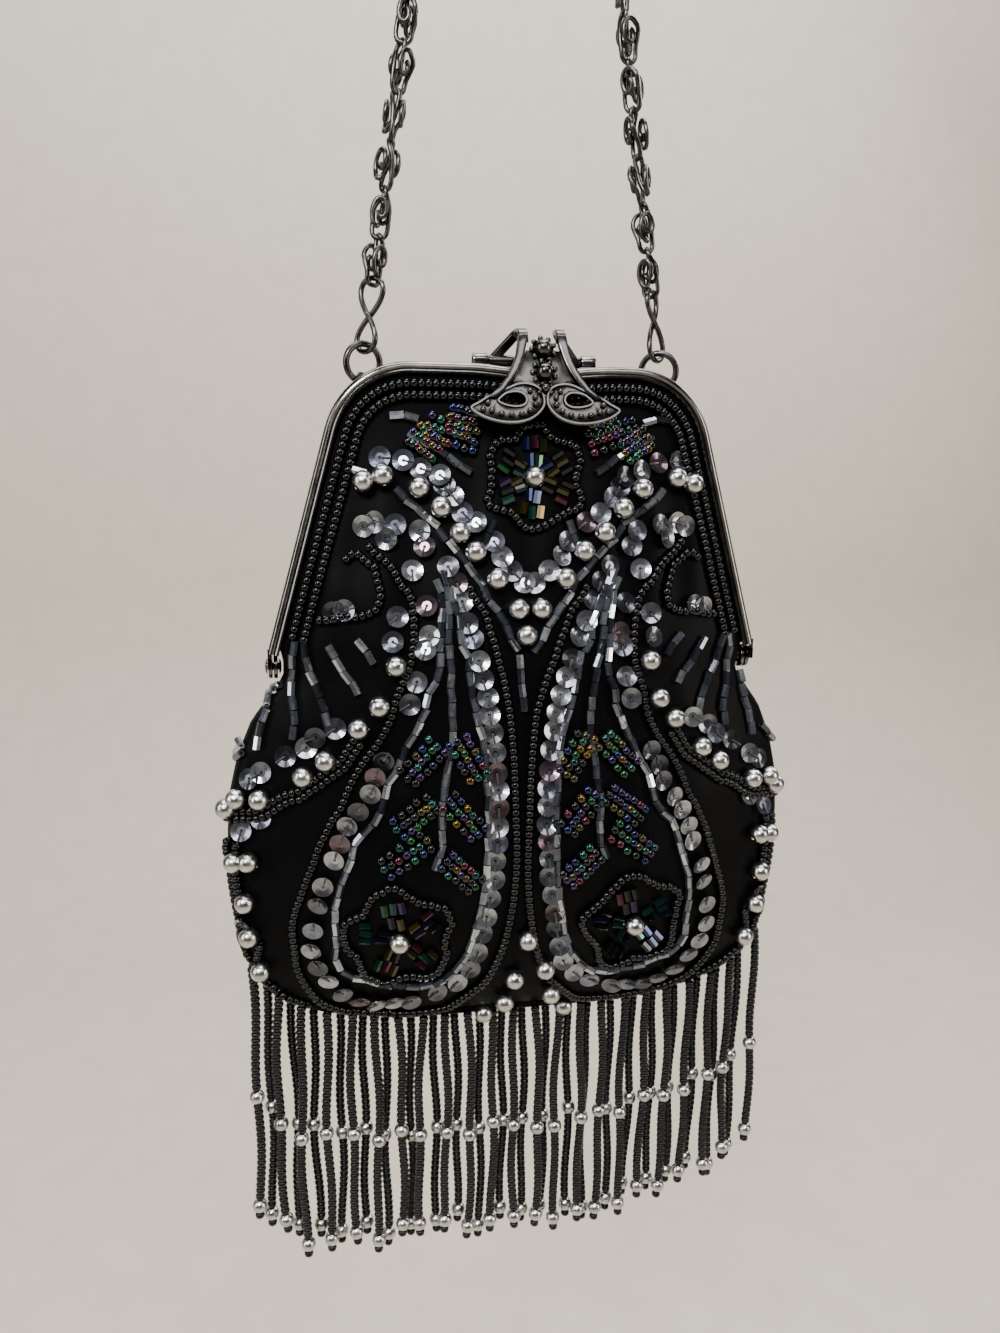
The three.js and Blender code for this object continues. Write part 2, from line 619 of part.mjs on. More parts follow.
function claspLever() {
  const right = leverHalf();
  const web = solid(plate(
    [...WEB_OUTLINE, ...WEB_OUTLINE.map(([x, y]) => [-x, y]).reverse()], LEVER_THICK - LEVER_RECESS));
  const balls = BALLS.map((height) => solid(
    new THREE.SphereGeometry(BALL_RADIUS, 10, 6).translate(0, height, LEVER_THICK)));
  const tilt = new THREE.Matrix4().makeBasis(
    new THREE.Vector3(1, 0, 0),
    new THREE.Vector3(0, Math.sin(LEVER_TILT), Math.cos(LEVER_TILT)),
    new THREE.Vector3(0, -Math.cos(LEVER_TILT), Math.sin(LEVER_TILT)),
  ).setPosition(0, -LEVER_BACK, 0);
  const face = join([right, right.scale([-1, 1, 1]), web, ...balls]);
  const tilted = solid(geometryOf(face).applyMatrix4(tilt));
  const topX = (ARM_OUTLINE[0][0] + ARM_OUTLINE[ARM_OUTLINE.length - 1][0]) / 2;
  const topZ = ARM_OUTLINE[0][1] * Math.cos(LEVER_TILT);
  const topY = -LEVER_BACK + ARM_OUTLINE[0][1] * Math.sin(LEVER_TILT) - LEVER_THICK / 2;
  const legX = BARREL_HALF - STRAP_WIDTH / 2;
  const straps = [-1, 1].flatMap((side) => {
    const front = new THREE.Vector3(side * topX, topY, topZ);
    const bend = new THREE.Vector3(side * topX, topY + STRAP_LEAN, STRAP_TOP);
    const rear = new THREE.Vector3(side * (topX + STRAP_SPREAD), HINGE_Y - STRAP_FALL, STRAP_TOP);
    const foot = new THREE.Vector3(side * legX, HINGE_Y, HINGE_Z);
    return [strap(front, bend), strap(bend, rear), strap(rear, foot)];
  });
  const barrel = rod(BARREL_RADIUS, 2 * BARREL_HALF, [0, HINGE_Y, HINGE_Z], ROUND_SIDES);
  const pin = rod(PIN_RADIUS, 2 * (BARREL_HALF + GAP + KNUCKLE_LENGTH), [0, HINGE_Y, HINGE_Z], ROUND_SIDES);
  return join([tilted, ...straps, barrel, pin]).translate([CLASP_SHIFT, 0, 0]);
}

// Chain: joints between links, marched down one side of the hook and then straight to the connector
const LINK_HALF = { across: (LINK_WIDTH / 2) - LINK_WIRE, deep: (LINK_DEPTH / 2) - LINK_WIRE,
  along: (LINK_LENGTH / 2) - LINK_WIRE };
const PITCH = 2 * LINK_HALF.along - LINK_BITE;
const CHAIN_BEND = HOOK_RADIUS + LINK_DEPTH / 2;

function strandPoint(distance, lean) {
  const turn = Math.PI / 2 - lean;
  const angle = Math.min(distance / CHAIN_BEND, turn);
  const rest = Math.max(distance - turn * CHAIN_BEND, 0);
  return new THREE.Vector3(
    CHAIN_BEND * Math.sin(angle) + rest * Math.sin(lean),
    0,
    CHAIN_BEND * Math.cos(angle) - HOOK_RADIUS - rest * Math.cos(lean),
  );
}

function strandJoints(lean) {
  const joints = [strandPoint(0, lean)];
  let distance = 0;
  for (let i = 0; i < CHAIN_LINKS / 2; i += 1) {
    let low = distance;
    let high = distance + 2 * PITCH;
    for (let k = 0; k < 40; k += 1) {
      const middle = (low + high) / 2;
      if (strandPoint(middle, lean).distanceTo(joints[i]) < PITCH) {
        low = middle;
      } else {
        high = middle;
      }
    }
    distance = high;
    joints.push(strandPoint(distance, lean));
  }
  return joints;
}

// Distances up the pull line from the lug: to the ring's middle, the connector's foot and the last chain joint
const RING_UP = RING_RADIUS;
const EIGHT_UP = 2 * RING_RADIUS - (RING_WIRE + EIGHT_WIRE + GAP);
const EIGHT_SPAN = EIGHT_LENGTH - 2 * EIGHT_WIRE;
const JOINT_UP = EIGHT_UP + EIGHT_SPAN - (EIGHT_WIRE + LINK_WIRE + GAP) + LINK_BITE / 2;

// Lean of the strands, and the purse's height under the hook, so that the chain meets both connectors
function hanging() {
  const lug = lugCentre();
  let low = 0.02;
  let high = 0.6;
  for (let k = 0; k < 50; k += 1) {
    const lean = (low + high) / 2;
    const joints = strandJoints(lean);
    if (joints[joints.length - 1].x < lug.x - JOINT_UP * Math.sin(lean)) {
      low = lean;
    } else {
      high = lean;
    }
  }
  const lean = (low + high) / 2;
  const joints = strandJoints(lean);
  const drop = joints[joints.length - 1].z - (lug.z + JOINT_UP * Math.cos(lean));
  return { lean, joints, drop };
}

// Places a piece made about the origin, its length along Z, on the right pull line, or on the left one
function onPullLine(geometry, hang, up, turn, mirror) {
  const lug = lugCentre();
  const side = mirror ? -1 : 1;
  const x = side * (lug.x - up * Math.sin(hang.lean));
  const z = lug.z + up * Math.cos(hang.lean);
  return geometry.rotateZ(side * turn).rotateY(-side * hang.lean).translate(x, LUG_Y, z);
}

function jumpRing() {
  return new THREE.TorusGeometry(RING_RADIUS, RING_WIRE, 6, 16).rotateX(Math.PI / 2);
}

// One loop of the figure eight, from its waist out and round, back to its waist
function eightLoop(way) {
  const points = [];
  for (let i = 0; i <= EIGHT_STEPS; i += 1) {
    const angle = (2 * Math.PI * i) / EIGHT_STEPS;
    const x = 1.3 * EIGHT_HALF_WIDTH * Math.sin(angle) * Math.sin(angle / 2);
    const z = ((EIGHT_LENGTH / 2 - EIGHT_WIRE) / 2) * (1 - Math.cos(angle));
    points.push(new THREE.Vector3(x, 0, way * z));
  }
  return solid(wire(points, EIGHT_WIRE, WIRE_SIDES));
}

function connector() {
  const knot = solid(new THREE.SphereGeometry(EIGHT_WIRE * EIGHT_KNOT, 6, 4));
  return join([eightLoop(1), eightLoop(-1), knot]);
}

function linkGeometry() {
  const points = LINK_ROUTE.map((p) => new THREE.Vector3(
    p.across * LINK_HALF.across, p.deep * LINK_HALF.deep, p.along * LINK_HALF.along));
  return wire(points, LINK_WIRE, WIRE_SIDES);
}

// Links from the left connector over the hook to the right one; each stands on the joint below it
function chain(hang) {
  const right = hang.joints;
  const left = right.slice(1).map((p) => new THREE.Vector3(-p.x, p.y, p.z)).reverse();
  const joints = [...left, ...right];
  const links = [];
  for (let i = 0; i < joints.length - 1; i += 1) {
    const climbing = i < CHAIN_LINKS / 2;
    const from = climbing ? joints[i] : joints[i + 1];
    const to = climbing ? joints[i + 1] : joints[i];
    const up = new THREE.Vector3().subVectors(to, from).normalize();
    const lean = Math.atan2(up.x, up.z);
    const order = climbing ? i : CHAIN_LINKS - 1 - i;
    const turn = FIRST_LINK_TURN + order * LINK_TURN;
    const link = linkGeometry().rotateZ(climbing ? -turn : turn).rotateY(lean);
    links.push(solid(link.translate((from.x + to.x) / 2, LUG_Y, (from.z + to.z) / 2)));
  }
  return join(links);
}

function addMesh(group, name, geometry, look) {
  const mesh = new THREE.Mesh(geometry, new THREE.MeshStandardMaterial(look));
  mesh.name = name;
  group.add(mesh);
}

function purse() {
  const hang = hanging();
  const whole = new THREE.Group();
  whole.position.set(0, -LUG_Y, 0);
  addMesh(whole, 'chain', geometryOf(chain(hang)), METAL);
  const bag = new THREE.Group();
  bag.position.z = hang.drop;
  whole.add(bag);
  addMesh(bag, 'pouch_shell', geometryOf(pouchShell()), SATIN);
  addMesh(bag, 'frame_front', geometryOf(frameFront()), METAL);
  addMesh(bag, 'frame_back', geometryOf(frameBack(hang)), METAL);
  addMesh(bag, 'hinge_rivet_left', geometryOf(hingeRivet(true)), METAL);
  addMesh(bag, 'hinge_rivet_right', geometryOf(hingeRivet(false)), METAL);
  addMesh(bag, 'clasp_lever', geometryOf(claspLever()), METAL);
  for (const [name, mirror] of [['left', true], ['right', false]]) {
    addMesh(bag, `jump_ring_${name}`, onPullLine(jumpRing(), hang, RING_UP, RING_TURN, mirror), METAL);
    const eight = geometryOf(connector());
    const middle = EIGHT_UP + EIGHT_SPAN / 2;
    addMesh(bag, `connector_${name}`, onPullLine(eight, hang, middle, EIGHT_TURN, mirror), METAL);
  }
  addMesh(bag, 'fringe', geometryOf(fringe()), BEADS);
  return whole;
}

export default purse();
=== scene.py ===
"""Looks of a beaded evening purse: satin pouch, metal frame and clasp, scroll chain, beading and fringe.

Lengths in the tables are millimetres in the purse's own place: x across, y back, z up, with z 0 at the
frame's inner rim and y 0 between the two half frames.
"""

import math
import random

import bmesh
import bpy
from bpy.props import FloatProperty, FloatVectorProperty, IntProperty, PointerProperty
from mathutils import Matrix, Vector, noise
from mathutils.bvhtree import BVHTree


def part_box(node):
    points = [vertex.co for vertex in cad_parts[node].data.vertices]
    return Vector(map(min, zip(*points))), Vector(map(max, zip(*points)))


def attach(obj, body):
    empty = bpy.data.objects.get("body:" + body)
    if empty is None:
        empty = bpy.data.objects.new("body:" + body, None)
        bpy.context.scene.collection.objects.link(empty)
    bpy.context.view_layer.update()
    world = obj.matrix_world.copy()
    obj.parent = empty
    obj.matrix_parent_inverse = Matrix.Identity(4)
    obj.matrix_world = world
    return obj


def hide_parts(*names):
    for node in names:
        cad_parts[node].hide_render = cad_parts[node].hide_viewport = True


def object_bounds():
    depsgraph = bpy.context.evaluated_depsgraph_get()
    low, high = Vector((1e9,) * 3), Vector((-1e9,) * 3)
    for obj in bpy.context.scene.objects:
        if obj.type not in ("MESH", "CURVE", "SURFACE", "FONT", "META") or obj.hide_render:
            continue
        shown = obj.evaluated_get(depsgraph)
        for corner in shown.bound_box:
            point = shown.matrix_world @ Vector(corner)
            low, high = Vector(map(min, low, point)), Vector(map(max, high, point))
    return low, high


bl_info = {
    "name": "Beaded flapper purse",
    "version": (1, 0, 0),
    "blender": (4, 5, 0),
    "location": "View3D > Sidebar > Purse",
    "description": "Builds the looks of a beaded evening purse round its packed solids",
    "category": "Object",
}

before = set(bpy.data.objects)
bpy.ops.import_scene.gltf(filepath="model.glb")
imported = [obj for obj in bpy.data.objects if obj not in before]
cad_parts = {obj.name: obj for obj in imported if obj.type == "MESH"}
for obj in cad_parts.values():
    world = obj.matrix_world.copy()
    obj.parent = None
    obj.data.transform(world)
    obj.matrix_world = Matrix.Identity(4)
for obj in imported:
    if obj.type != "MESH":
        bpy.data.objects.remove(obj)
CAD_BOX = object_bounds()

MM = 0.001
PHOTO_SIZE = (1000, 1333)

# The frame's bars, as the solids have them
BAR_WIDTH = 2.4
FRAME_HALF_DEPTH = 4.6
RIM_TOP_HALF = 23.6
RIM_CORNER = 16.0
RIM_SPLAY = math.radians(15.5)
RIM_HEIGHT = 58.0
RIM_DIP = 1.0
RIM_DIP_HALF = 16.0
CLASP_SHIFT = 3.7

# Where the purse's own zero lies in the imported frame
ZERO_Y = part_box("frame_front")[0].y / MM + FRAME_HALF_DEPTH
ZERO_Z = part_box("frame_front")[1].z / MM - BAR_WIDTH

# The photograph's view: focal length in pixels, place in millimetres, angles in degrees
VIEW_FOCAL = 1002.0
VIEW_PLACE = Vector((-44.4, -216.0, -21.1))
VIEW_YAW, VIEW_PITCH, VIEW_ROLL = 10.63, 10.6, 0.51
SENSOR = 36.0


def to_linear(code):
    """Linear colour of an sRGB hex value."""
    parts = [int(code[i:i + 2], 16) / 255 for i in (1, 3, 5)]
    return tuple(c / 12.92 if c <= 0.04045 else ((c + 0.055) / 1.055) ** 2.4 for c in parts)


def place(point):
    """A point of the purse's own place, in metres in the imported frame."""
    return Vector((point[0], point[1] + ZERO_Y, point[2] + ZERO_Z)) * MM


# User's values


class PurseSizes(bpy.types.PropertyGroup):
    """Sizes of the beads and of the fringe's strings."""

    seed_width: FloatProperty(
        name="Seed bead width", description="Across a seed bead",
        default=2.1 * MM, min=0.1 * MM, unit="LENGTH")
    seed_length: FloatProperty(
        name="Seed bead length", description="Along a seed bead's hole",
        default=1.45 * MM, min=0.1 * MM, unit="LENGTH")
    silver_width: FloatProperty(
        name="Silver bead", description="Across a silver bead",
        default=4.5 * MM, min=0.1 * MM, unit="LENGTH")
    drop_width: FloatProperty(
        name="Fringe bead", description="Across a fringe's silver bead",
        default=3.5 * MM, min=0.1 * MM, unit="LENGTH")
    sequin_width: FloatProperty(
        name="Sequin", description="Across a cup sequin",
        default=4.6 * MM, min=0.1 * MM, unit="LENGTH")
    bugle_width: FloatProperty(
        name="Bugle width", description="Across a bugle bead",
        default=1.7 * MM, min=0.1 * MM, unit="LENGTH")
    bugle_length: FloatProperty(
        name="Bugle length", description="Along a bugle bead",
        default=2.9 * MM, min=0.1 * MM, unit="LENGTH")
    strings: IntProperty(
        name="Fringe strings", description="Strings in the fringe",
        default=45, min=2)
    upper_seeds: IntProperty(
        name="Upper seeds", description="Seed beads above the first fringe bead",
        default=20, min=2)
    lower_seeds: IntProperty(
        name="Lower seeds", description="Seed beads below the first fringe bead",
        default=15, min=2)


class PurseColours(bpy.types.PropertyGroup):
    """Colours of the finishes."""

    satin: FloatVectorProperty(
        name="Satin", description="Colour of the satin",
        default=to_linear("#030304"), subtype="COLOR")
    nickel: FloatVectorProperty(
        name="Dark nickel", description="Colour of the frame",
        default=to_linear("#6a6866"), subtype="COLOR")
    jet: FloatVectorProperty(
        name="Jet glass", description="Colour of the seed beads",
        default=to_linear("#030304"), subtype="COLOR")
    silver: FloatVectorProperty(
        name="Silver", description="Colour of the silver beads",
        default=to_linear("#d4d3d1"), subtype="COLOR")
    wall: FloatVectorProperty(
        name="Backdrop", description="Colour of the floor and backdrop",
        default=to_linear("#bab2a3"), subtype="COLOR")


# Materials


# Where a blotch pattern's dark and light stops lie
BLOTCH_STOPS = (0.3, 0.7)


def add_node(tree, kind, settings=None, links=None, feeds=None):
    """Adds one node; settings name its properties or sockets, links what feeds it, feeds what it feeds."""
    node = tree.nodes.new(kind)
    for key, value in (settings or {}).items():
        if key in node.inputs:
            node.inputs[key].default_value = value
        else:
            setattr(node, key, value)
    for key, source in (links or {}).items():
        tree.links.new(source, node.inputs[key])
    for key, target in (feeds or {}).items():
        tree.links.new(node.outputs[key], target)
    return node


def new_material(name, **values):
    """A material with its shader's own values: (material, tree, shader, object coordinates)."""
    material = bpy.data.materials.new(name)
    material.use_nodes = True
    tree = material.node_tree
    shader = next(n for n in tree.nodes if n.type == "BSDF_PRINCIPLED")
    for key, value in values.items():
        shader.inputs[key.replace("_", " ")].default_value = value
    where = add_node(tree, "ShaderNodeTexCoord").outputs["Object"]
    return material, tree, shader, where


def per_size(millimetres):
    """A noise's scale on object coordinates for features of about that size."""
    return 1 / (millimetres * MM)


def blotches(tree, where, size_mm, detail, dark, light):
    """Blotches of about that size: their pattern, and a colour that follows it from dark to light."""
    field = add_node(tree, "ShaderNodeTexNoise", {"Scale": per_size(size_mm), "Detail": detail},
                     {"Vector": where})
    shades = add_node(tree, "ShaderNodeValToRGB", links={"Fac": field.outputs["Fac"]})
    for stop, position, colour in zip(shades.color_ramp.elements, BLOTCH_STOPS, (dark, light)):
        stop.position = position
        stop.color = (*colour, 1)
    return field.outputs["Fac"], shades.outputs["Color"]


def scaled(colour, factor):
    """A colour made darker or lighter, never past white."""
    return tuple(min(c * factor, 1.0) for c in colour)


def satin_material(colour):
    """Woven polyester satin: a deep black that lifts to grey where the long floats catch the light."""
    material, tree, shader, where = new_material(
        "black_woven_satin", Roughness=0.45, Specular_IOR_Level=0.06)
    folds, shade = blotches(tree, where, 9.0, 4.0, scaled(colour, 0.6), scaled(colour, 1.7))
    tree.links.new(shade, shader.inputs["Base Color"])
    # Threads of 0.15 mm are too fine to show, so the twill is drawn 0.4 mm apart
    turned = add_node(tree, "ShaderNodeMapping", {"Rotation": (0, math.radians(38), 0)}, {"Vector": where})
    twill = {"Scale": per_size(0.4) / 6.2832, "Distortion": 0.6, "Detail": 1.0}
    weave = add_node(tree, "ShaderNodeTexWave", twill, {"Vector": turned.outputs["Vector"]})
    add_node(tree, "ShaderNodeBump", {"Strength": 0.2, "Distance": 0.04 * MM},
             {"Height": weave.outputs["Fac"]}, {"Normal": shader.inputs["Normal"]})
    return material


def nickel_material(name, colour):
    """Dark nickel plate on cast and bent metal: smoky mirror, fine handling marks, duller patches, and
    painted shade together with tarnish in its hollows.
    """
    material, tree, shader, where = new_material(name, Metallic=1.0)
    patches, plate = blotches(tree, where, 3.0, 5.0, scaled(colour, 0.75), scaled(colour, 1.25))
    # Painted shade together with tarnish: within 1.5 mm of a wall, in the cast relief's hollows and where
    # other parts come close, the colour darkens nearly to black
    hollow = add_node(tree, "ShaderNodeAmbientOcclusion", {"Distance": 1.5 * MM})
    unshaded_share = add_node(tree, "ShaderNodeMapRange", {"To Min": -0.5, "To Max": 1.0},
                     {"Value": hollow.outputs["AO"]})
    shade_and_tarnish = add_node(tree, "ShaderNodeMix", {"data_type": "RGBA"})
    shade_and_tarnish.inputs[6].default_value = (*scaled(colour, 0.08), 1.0)
    tree.links.new(unshaded_share.outputs["Result"], shade_and_tarnish.inputs[0])
    tree.links.new(plate, shade_and_tarnish.inputs[7])
    tree.links.new(shade_and_tarnish.outputs[2], shader.inputs["Base Color"])
    add_node(tree, "ShaderNodeMapRange", {"To Min": 0.1, "To Max": 0.3}, {"Value": patches},
             {"Result": shader.inputs["Roughness"]})
    marks = add_node(tree, "ShaderNodeTexNoise", {"Scale": per_size(0.5), "Detail": 2.0}, {"Vector": where})
    add_node(tree, "ShaderNodeBump", {"Strength": 0.12, "Distance": 0.05 * MM},
             {"Height": marks.outputs["Fac"]}, {"Normal": shader.inputs["Normal"]})
    return material


def wire_material(colour):
    """Drawn steel wire under the same plate: darker and a little duller than the frame."""
    material, tree, shader, where = new_material("dark_nickel_wire", Metallic=1.0)
    patches, plate = blotches(tree, where, 2.0, 4.0, scaled(colour, 0.3), scaled(colour, 0.62))
    tree.links.new(plate, shader.inputs["Base Color"])
    add_node(tree, "ShaderNodeMapRange", {"To Min": 0.16, "To Max": 0.34}, {"Value": patches},
             {"Result": shader.inputs["Roughness"]})
    return material


def jet_material(colour):
    """Pressed black glass with a hematite skin: near black, with one small sharp glint on each bead."""
    material, tree, shader, where = new_material(
        "jet_seed_glass", Roughness=0.06, IOR=1.5, Specular_IOR_Level=0.3,
        Coat_Weight=0.06, Coat_Roughness=0.02)
    shade = blotches(tree, where, 4.0, 2.0, scaled(colour, 0.6), scaled(colour, 2.2))[1]
    tree.links.new(shade, shader.inputs["Base Color"])
    return material


def silver_material(colour):
    """Brushed silver-plated bead: soft bright metal that greys towards its stringing hole."""
    material, tree, shader, where = new_material("brushed_silver_bead", Metallic=1.0)
    patches, plate = blotches(tree, where, 1.2, 5.0, scaled(colour, 0.55), colour)
    tree.links.new(plate, shader.inputs["Base Color"])
    add_node(tree, "ShaderNodeMapRange", {"To Min": 0.14, "To Max": 0.34}, {"Value": patches},
             {"Result": shader.inputs["Roughness"]})
    # Brush lines of 0.05 mm are too fine to show, so they are drawn 0.25 mm apart
    brush = add_node(tree, "ShaderNodeTexNoise", {"Scale": per_size(0.25), "Detail": 2.0}, {"Vector": where})
    add_node(tree, "ShaderNodeBump", {"Strength": 0.5, "Distance": 0.08 * MM},
             {"Height": brush.outputs["Fac"]}, {"Normal": shader.inputs["Normal"]})
    return material


def tinted_material(name, roughness, metallic, dark=1.0):
    """Glass or foil whose colour is painted on each bead by its tint."""
    material, tree, shader, where = new_material(
        name, Roughness=roughness, Metallic=metallic, IOR=1.52, Coat_Weight=0.4, Coat_Roughness=0.06)
    tint = add_node(tree, "ShaderNodeAttribute", {"attribute_name": "tint"})
    patches = blotches(tree, where, 1.5, 2.0, (0.55 * dark,) * 3, (dark,) * 3)[1]
    shade = add_node(tree, "ShaderNodeMix", {"data_type": "RGBA", "blend_type": "MULTIPLY"})
    shade.inputs[0].default_value = 1.0
    tree.links.new(tint.outputs["Color"], shade.inputs[6])
    tree.links.new(patches, shade.inputs[7])
    tree.links.new(shade.outputs[2], shader.inputs["Base Color"])
    return material


def thread_material():
    """Polyester sewing thread: matt black, fuzzy."""
    material, tree, shader, where = new_material("black_sewing_thread", Roughness=0.75, Sheen_Weight=0.3)
    shade = blotches(tree, where, 0.3, 1.0, to_linear("#060607"), to_linear("#141416"))[1]
    tree.links.new(shade, shader.inputs["Base Color"])
    return material


def backdrop_material(colour):
    """Painted plaster, out of the way: warm pale grey with a faint mottle."""
    material, tree, shader, where = new_material("pale_painted_plaster", Roughness=0.9)
    mottle, shade = blotches(tree, where, 25.0, 5.0, scaled(colour, 0.96), scaled(colour, 1.03))
    tree.links.new(shade, shader.inputs["Base Color"])
    add_node(tree, "ShaderNodeBump", {"Strength": 0.15, "Distance": 0.6 * MM}, {"Height": mottle},
             {"Normal": shader.inputs["Normal"]})
    return material


def material_named(name):
    """A finish by its name, made when it is first asked for."""
    if name in bpy.data.materials:
        return bpy.data.materials[name]
    colours = bpy.context.scene.purse_colours
    makers = {
        "black_woven_satin": lambda: satin_material(tuple(colours.satin)),
        "dark_nickel_plate": lambda: nickel_material("dark_nickel_plate", tuple(colours.nickel)),
        # A darker copy of the plate for the cast lever, which faces the lights: painted shade that keeps it
        # from reading brighter than the frame
        "shaded_nickel_casting": lambda: nickel_material("shaded_nickel_casting", scaled(colours.nickel, 0.5)),
        "dark_nickel_wire": lambda: wire_material(tuple(colours.nickel)),
        "jet_seed_glass": lambda: jet_material(tuple(colours.jet)),
        "brushed_silver_bead": lambda: silver_material(tuple(colours.silver)),
        # Vacuum-coated plastic film: thin grey mirror cups, some of them warm pink
        "coated_sequin_film": lambda: tinted_material("coated_sequin_film", 0.2, 0.9),
        # Cut glass tube with a steel-blue skin: flat facets that flash and go dark
        "hematite_bugle_glass": lambda: tinted_material("hematite_bugle_glass", 0.1, 0.9),
        # Oil-slick coating on glass: each bead holds its own green, blue, violet, gold or red
        "iridescent_glass": lambda: tinted_material("iridescent_glass", 0.12, 0.85, 0.6),
        "black_sewing_thread": thread_material,
        "pale_painted_plaster": lambda: backdrop_material(tuple(colours.wall)),
    }
    return makers[name]()


# Making pieces


def piece_from(mesh, name, material, body, replaced=(), smooth=True):
    """A finished piece at the origin that rides on a body."""
    mesh.name = name
    obj = bpy.data.objects.new(name, mesh)
    bpy.context.collection.objects.link(obj)
    mesh.materials.clear()
    mesh.materials.append(material_named(material))
    for polygon in mesh.polygons:
        polygon.use_smooth = smooth
    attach(obj, body)
    if replaced:
        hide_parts(*replaced)
    return obj


def mesh_of(bm):
    """A mesh from a bmesh, which is then let go."""
    mesh = bpy.data.meshes.new("part")
    bm.to_mesh(mesh)
    bm.free()
    return mesh


def sharpen(obj, degrees=35):
    """Keeps edges crisp above that angle."""
    obj.data.set_sharp_from_angle(angle=math.radians(degrees))
    return obj


def round_edges(bm, width, segments=2, degrees=30):
    """Bevels every edge sharper than that angle."""
    edges = [e for e in bm.edges if e.is_manifold and e.calc_face_angle() > math.radians(degrees)]
    bmesh.ops.bevel(bm, geom=edges, offset=width, affect="EDGES", segments=segments, profile=0.5,
                    material=-1, clamp_overlap=True)


def spun(profile, steps, axis=(0, 0, 1)):
    """Closed ring from a profile of (radius, height) points, its Z axis then turned to the one given."""
    bm = bmesh.new()
    verts = [bm.verts.new((r, 0, h)) for r, h in profile]
    edges = [bm.edges.new((verts[i], verts[(i + 1) % len(verts)])) for i in range(len(verts))]
    bmesh.ops.spin(bm, geom=verts + edges, cent=(0, 0, 0), axis=(0, 0, 1), angle=2 * math.pi, steps=steps,
                   use_merge=True)
    bmesh.ops.remove_doubles(bm, verts=bm.verts, dist=1e-7)
    bmesh.ops.recalc_face_normals(bm, faces=bm.faces)
    turn = Vector((0, 0, 1)).rotation_difference(Vector(axis)).to_matrix().to_4x4()
    bmesh.ops.transform(bm, matrix=turn, verts=bm.verts)
    return bm


def smooth_path(points, per_step, closed=False):
    """Catmull-Rom curve through points, as a denser list."""
    points = [Vector(p) for p in points]
    count = len(points)
    out = []
    for i in range(count if closed else count - 1):
        if closed:
            a, b, c, d = (points[(i + k) % count] for k in (-1, 0, 1, 2))
        else:
            b, c = points[i], points[i + 1]
            a = points[i - 1] if i > 0 else 2 * b - c
            d = points[i + 2] if i + 2 < count else 2 * c - b
        for k in range(per_step):
            t = k / per_step
            square, cube = 2 * a - 5 * b + 4 * c - d, 3 * b - a - 3 * c + d
            out.append(0.5 * (2 * b + (c - a) * t + square * t * t + cube * t ** 3))
    if not closed:
        out.append(points[-1])
    return out


def wire_mesh(points, radius, closed=False, resolution=2):
    """Round wire along points, in metres."""
    curve = bpy.data.curves.new("wire", "CURVE")
    curve.dimensions = "3D"
    curve.bevel_depth = radius
    curve.bevel_resolution = resolution
    curve.use_fill_caps = True
    spline = curve.splines.new("POLY")
    spline.points.add(len(points) - 1)
    for target, point in zip(spline.points, points):
        target.co = (*point, 1)
    spline.use_cyclic_u = closed
    holder = bpy.data.objects.new("wire", curve)
    bpy.context.collection.objects.link(holder)
    bpy.context.view_layer.update()
    graph = bpy.context.evaluated_depsgraph_get()
    mesh = bpy.data.meshes.new_from_object(holder.evaluated_get(graph))
    bpy.data.objects.remove(holder)
    bpy.data.curves.remove(curve)
    return mesh


def joined(meshes, matrices=None):
    """One bmesh from several meshes, each with its own matrix."""
    bm = bmesh.new()
    for i, mesh in enumerate(meshes):
        first = len(bm.verts)
        bm.from_mesh(mesh)
        bm.verts.ensure_lookup_table()
        if matrices:
            bmesh.ops.transform(bm, matrix=matrices[i], verts=bm.verts[first:])
    return bm


def beads_at(name, template, places, material, tints=None, smooth=True, replaced=()):
    """One mesh with a copy of the template at each place; a tint gives each copy its colour."""
    if not places:
        raise RuntimeError(f"{name} has no places")
    single = mesh_of(template)
    bm = bmesh.new()
    for matrix in places:
        copy = single.copy()
        copy.transform(matrix)
        bm.from_mesh(copy)
        bpy.data.meshes.remove(copy)
    mesh = mesh_of(bm)
    if tints:
        layer = mesh.color_attributes.new("tint", "FLOAT_COLOR", "POINT")
        values = [channel for tint in tints for _ in single.vertices for channel in (*tint, 1.0)]
        layer.data.foreach_set("color", values)
    return piece_from(mesh, name, material, "purse", replaced, smooth)


def standing(point, along, up):
    """Matrix that puts Z along a path, X away from the surface, at a point in metres."""
    z = along.normalized()
    x = (up - z * up.dot(z)).normalized()
    y = z.cross(x)
    return Matrix.Translation(point) @ Matrix((x, y, z)).transposed().to_4x4()


def facing(point, normal, turn=0.0, lean=None):
    """Matrix that puts Z along the surface's normal, turned about it, and leaning by a small vector."""
    z = (normal + (lean or Vector())).normalized()
    x = Vector((1, 0, 0))
    x = (x - z * x.dot(z)).normalized()
    y = z.cross(x)
    axes = Matrix((x, y, z)).transposed().to_4x4()
    return Matrix.Translation(point) @ axes @ Matrix.Rotation(turn, 4, "Z")


# The photograph's view


def view_matrix():
    """Rows are the view's right, down and forward directions."""
    yaw, pitch, roll = (math.radians(v) for v in (VIEW_YAW, VIEW_PITCH, VIEW_ROLL))
    base = Matrix(((1, 0, 0), (0, 0, -1), (0, 1, 0)))
    turn = Matrix(((math.cos(yaw), 0, -math.sin(yaw)), (0, 1, 0), (math.sin(yaw), 0, math.cos(yaw))))
    nod = Matrix(((1, 0, 0), (0, math.cos(pitch), -math.sin(pitch)), (0, math.sin(pitch), math.cos(pitch))))
    tip = Matrix(((math.cos(roll), -math.sin(roll), 0), (math.sin(roll), math.cos(roll), 0), (0, 0, 1)))
    return tip @ nod @ turn @ base


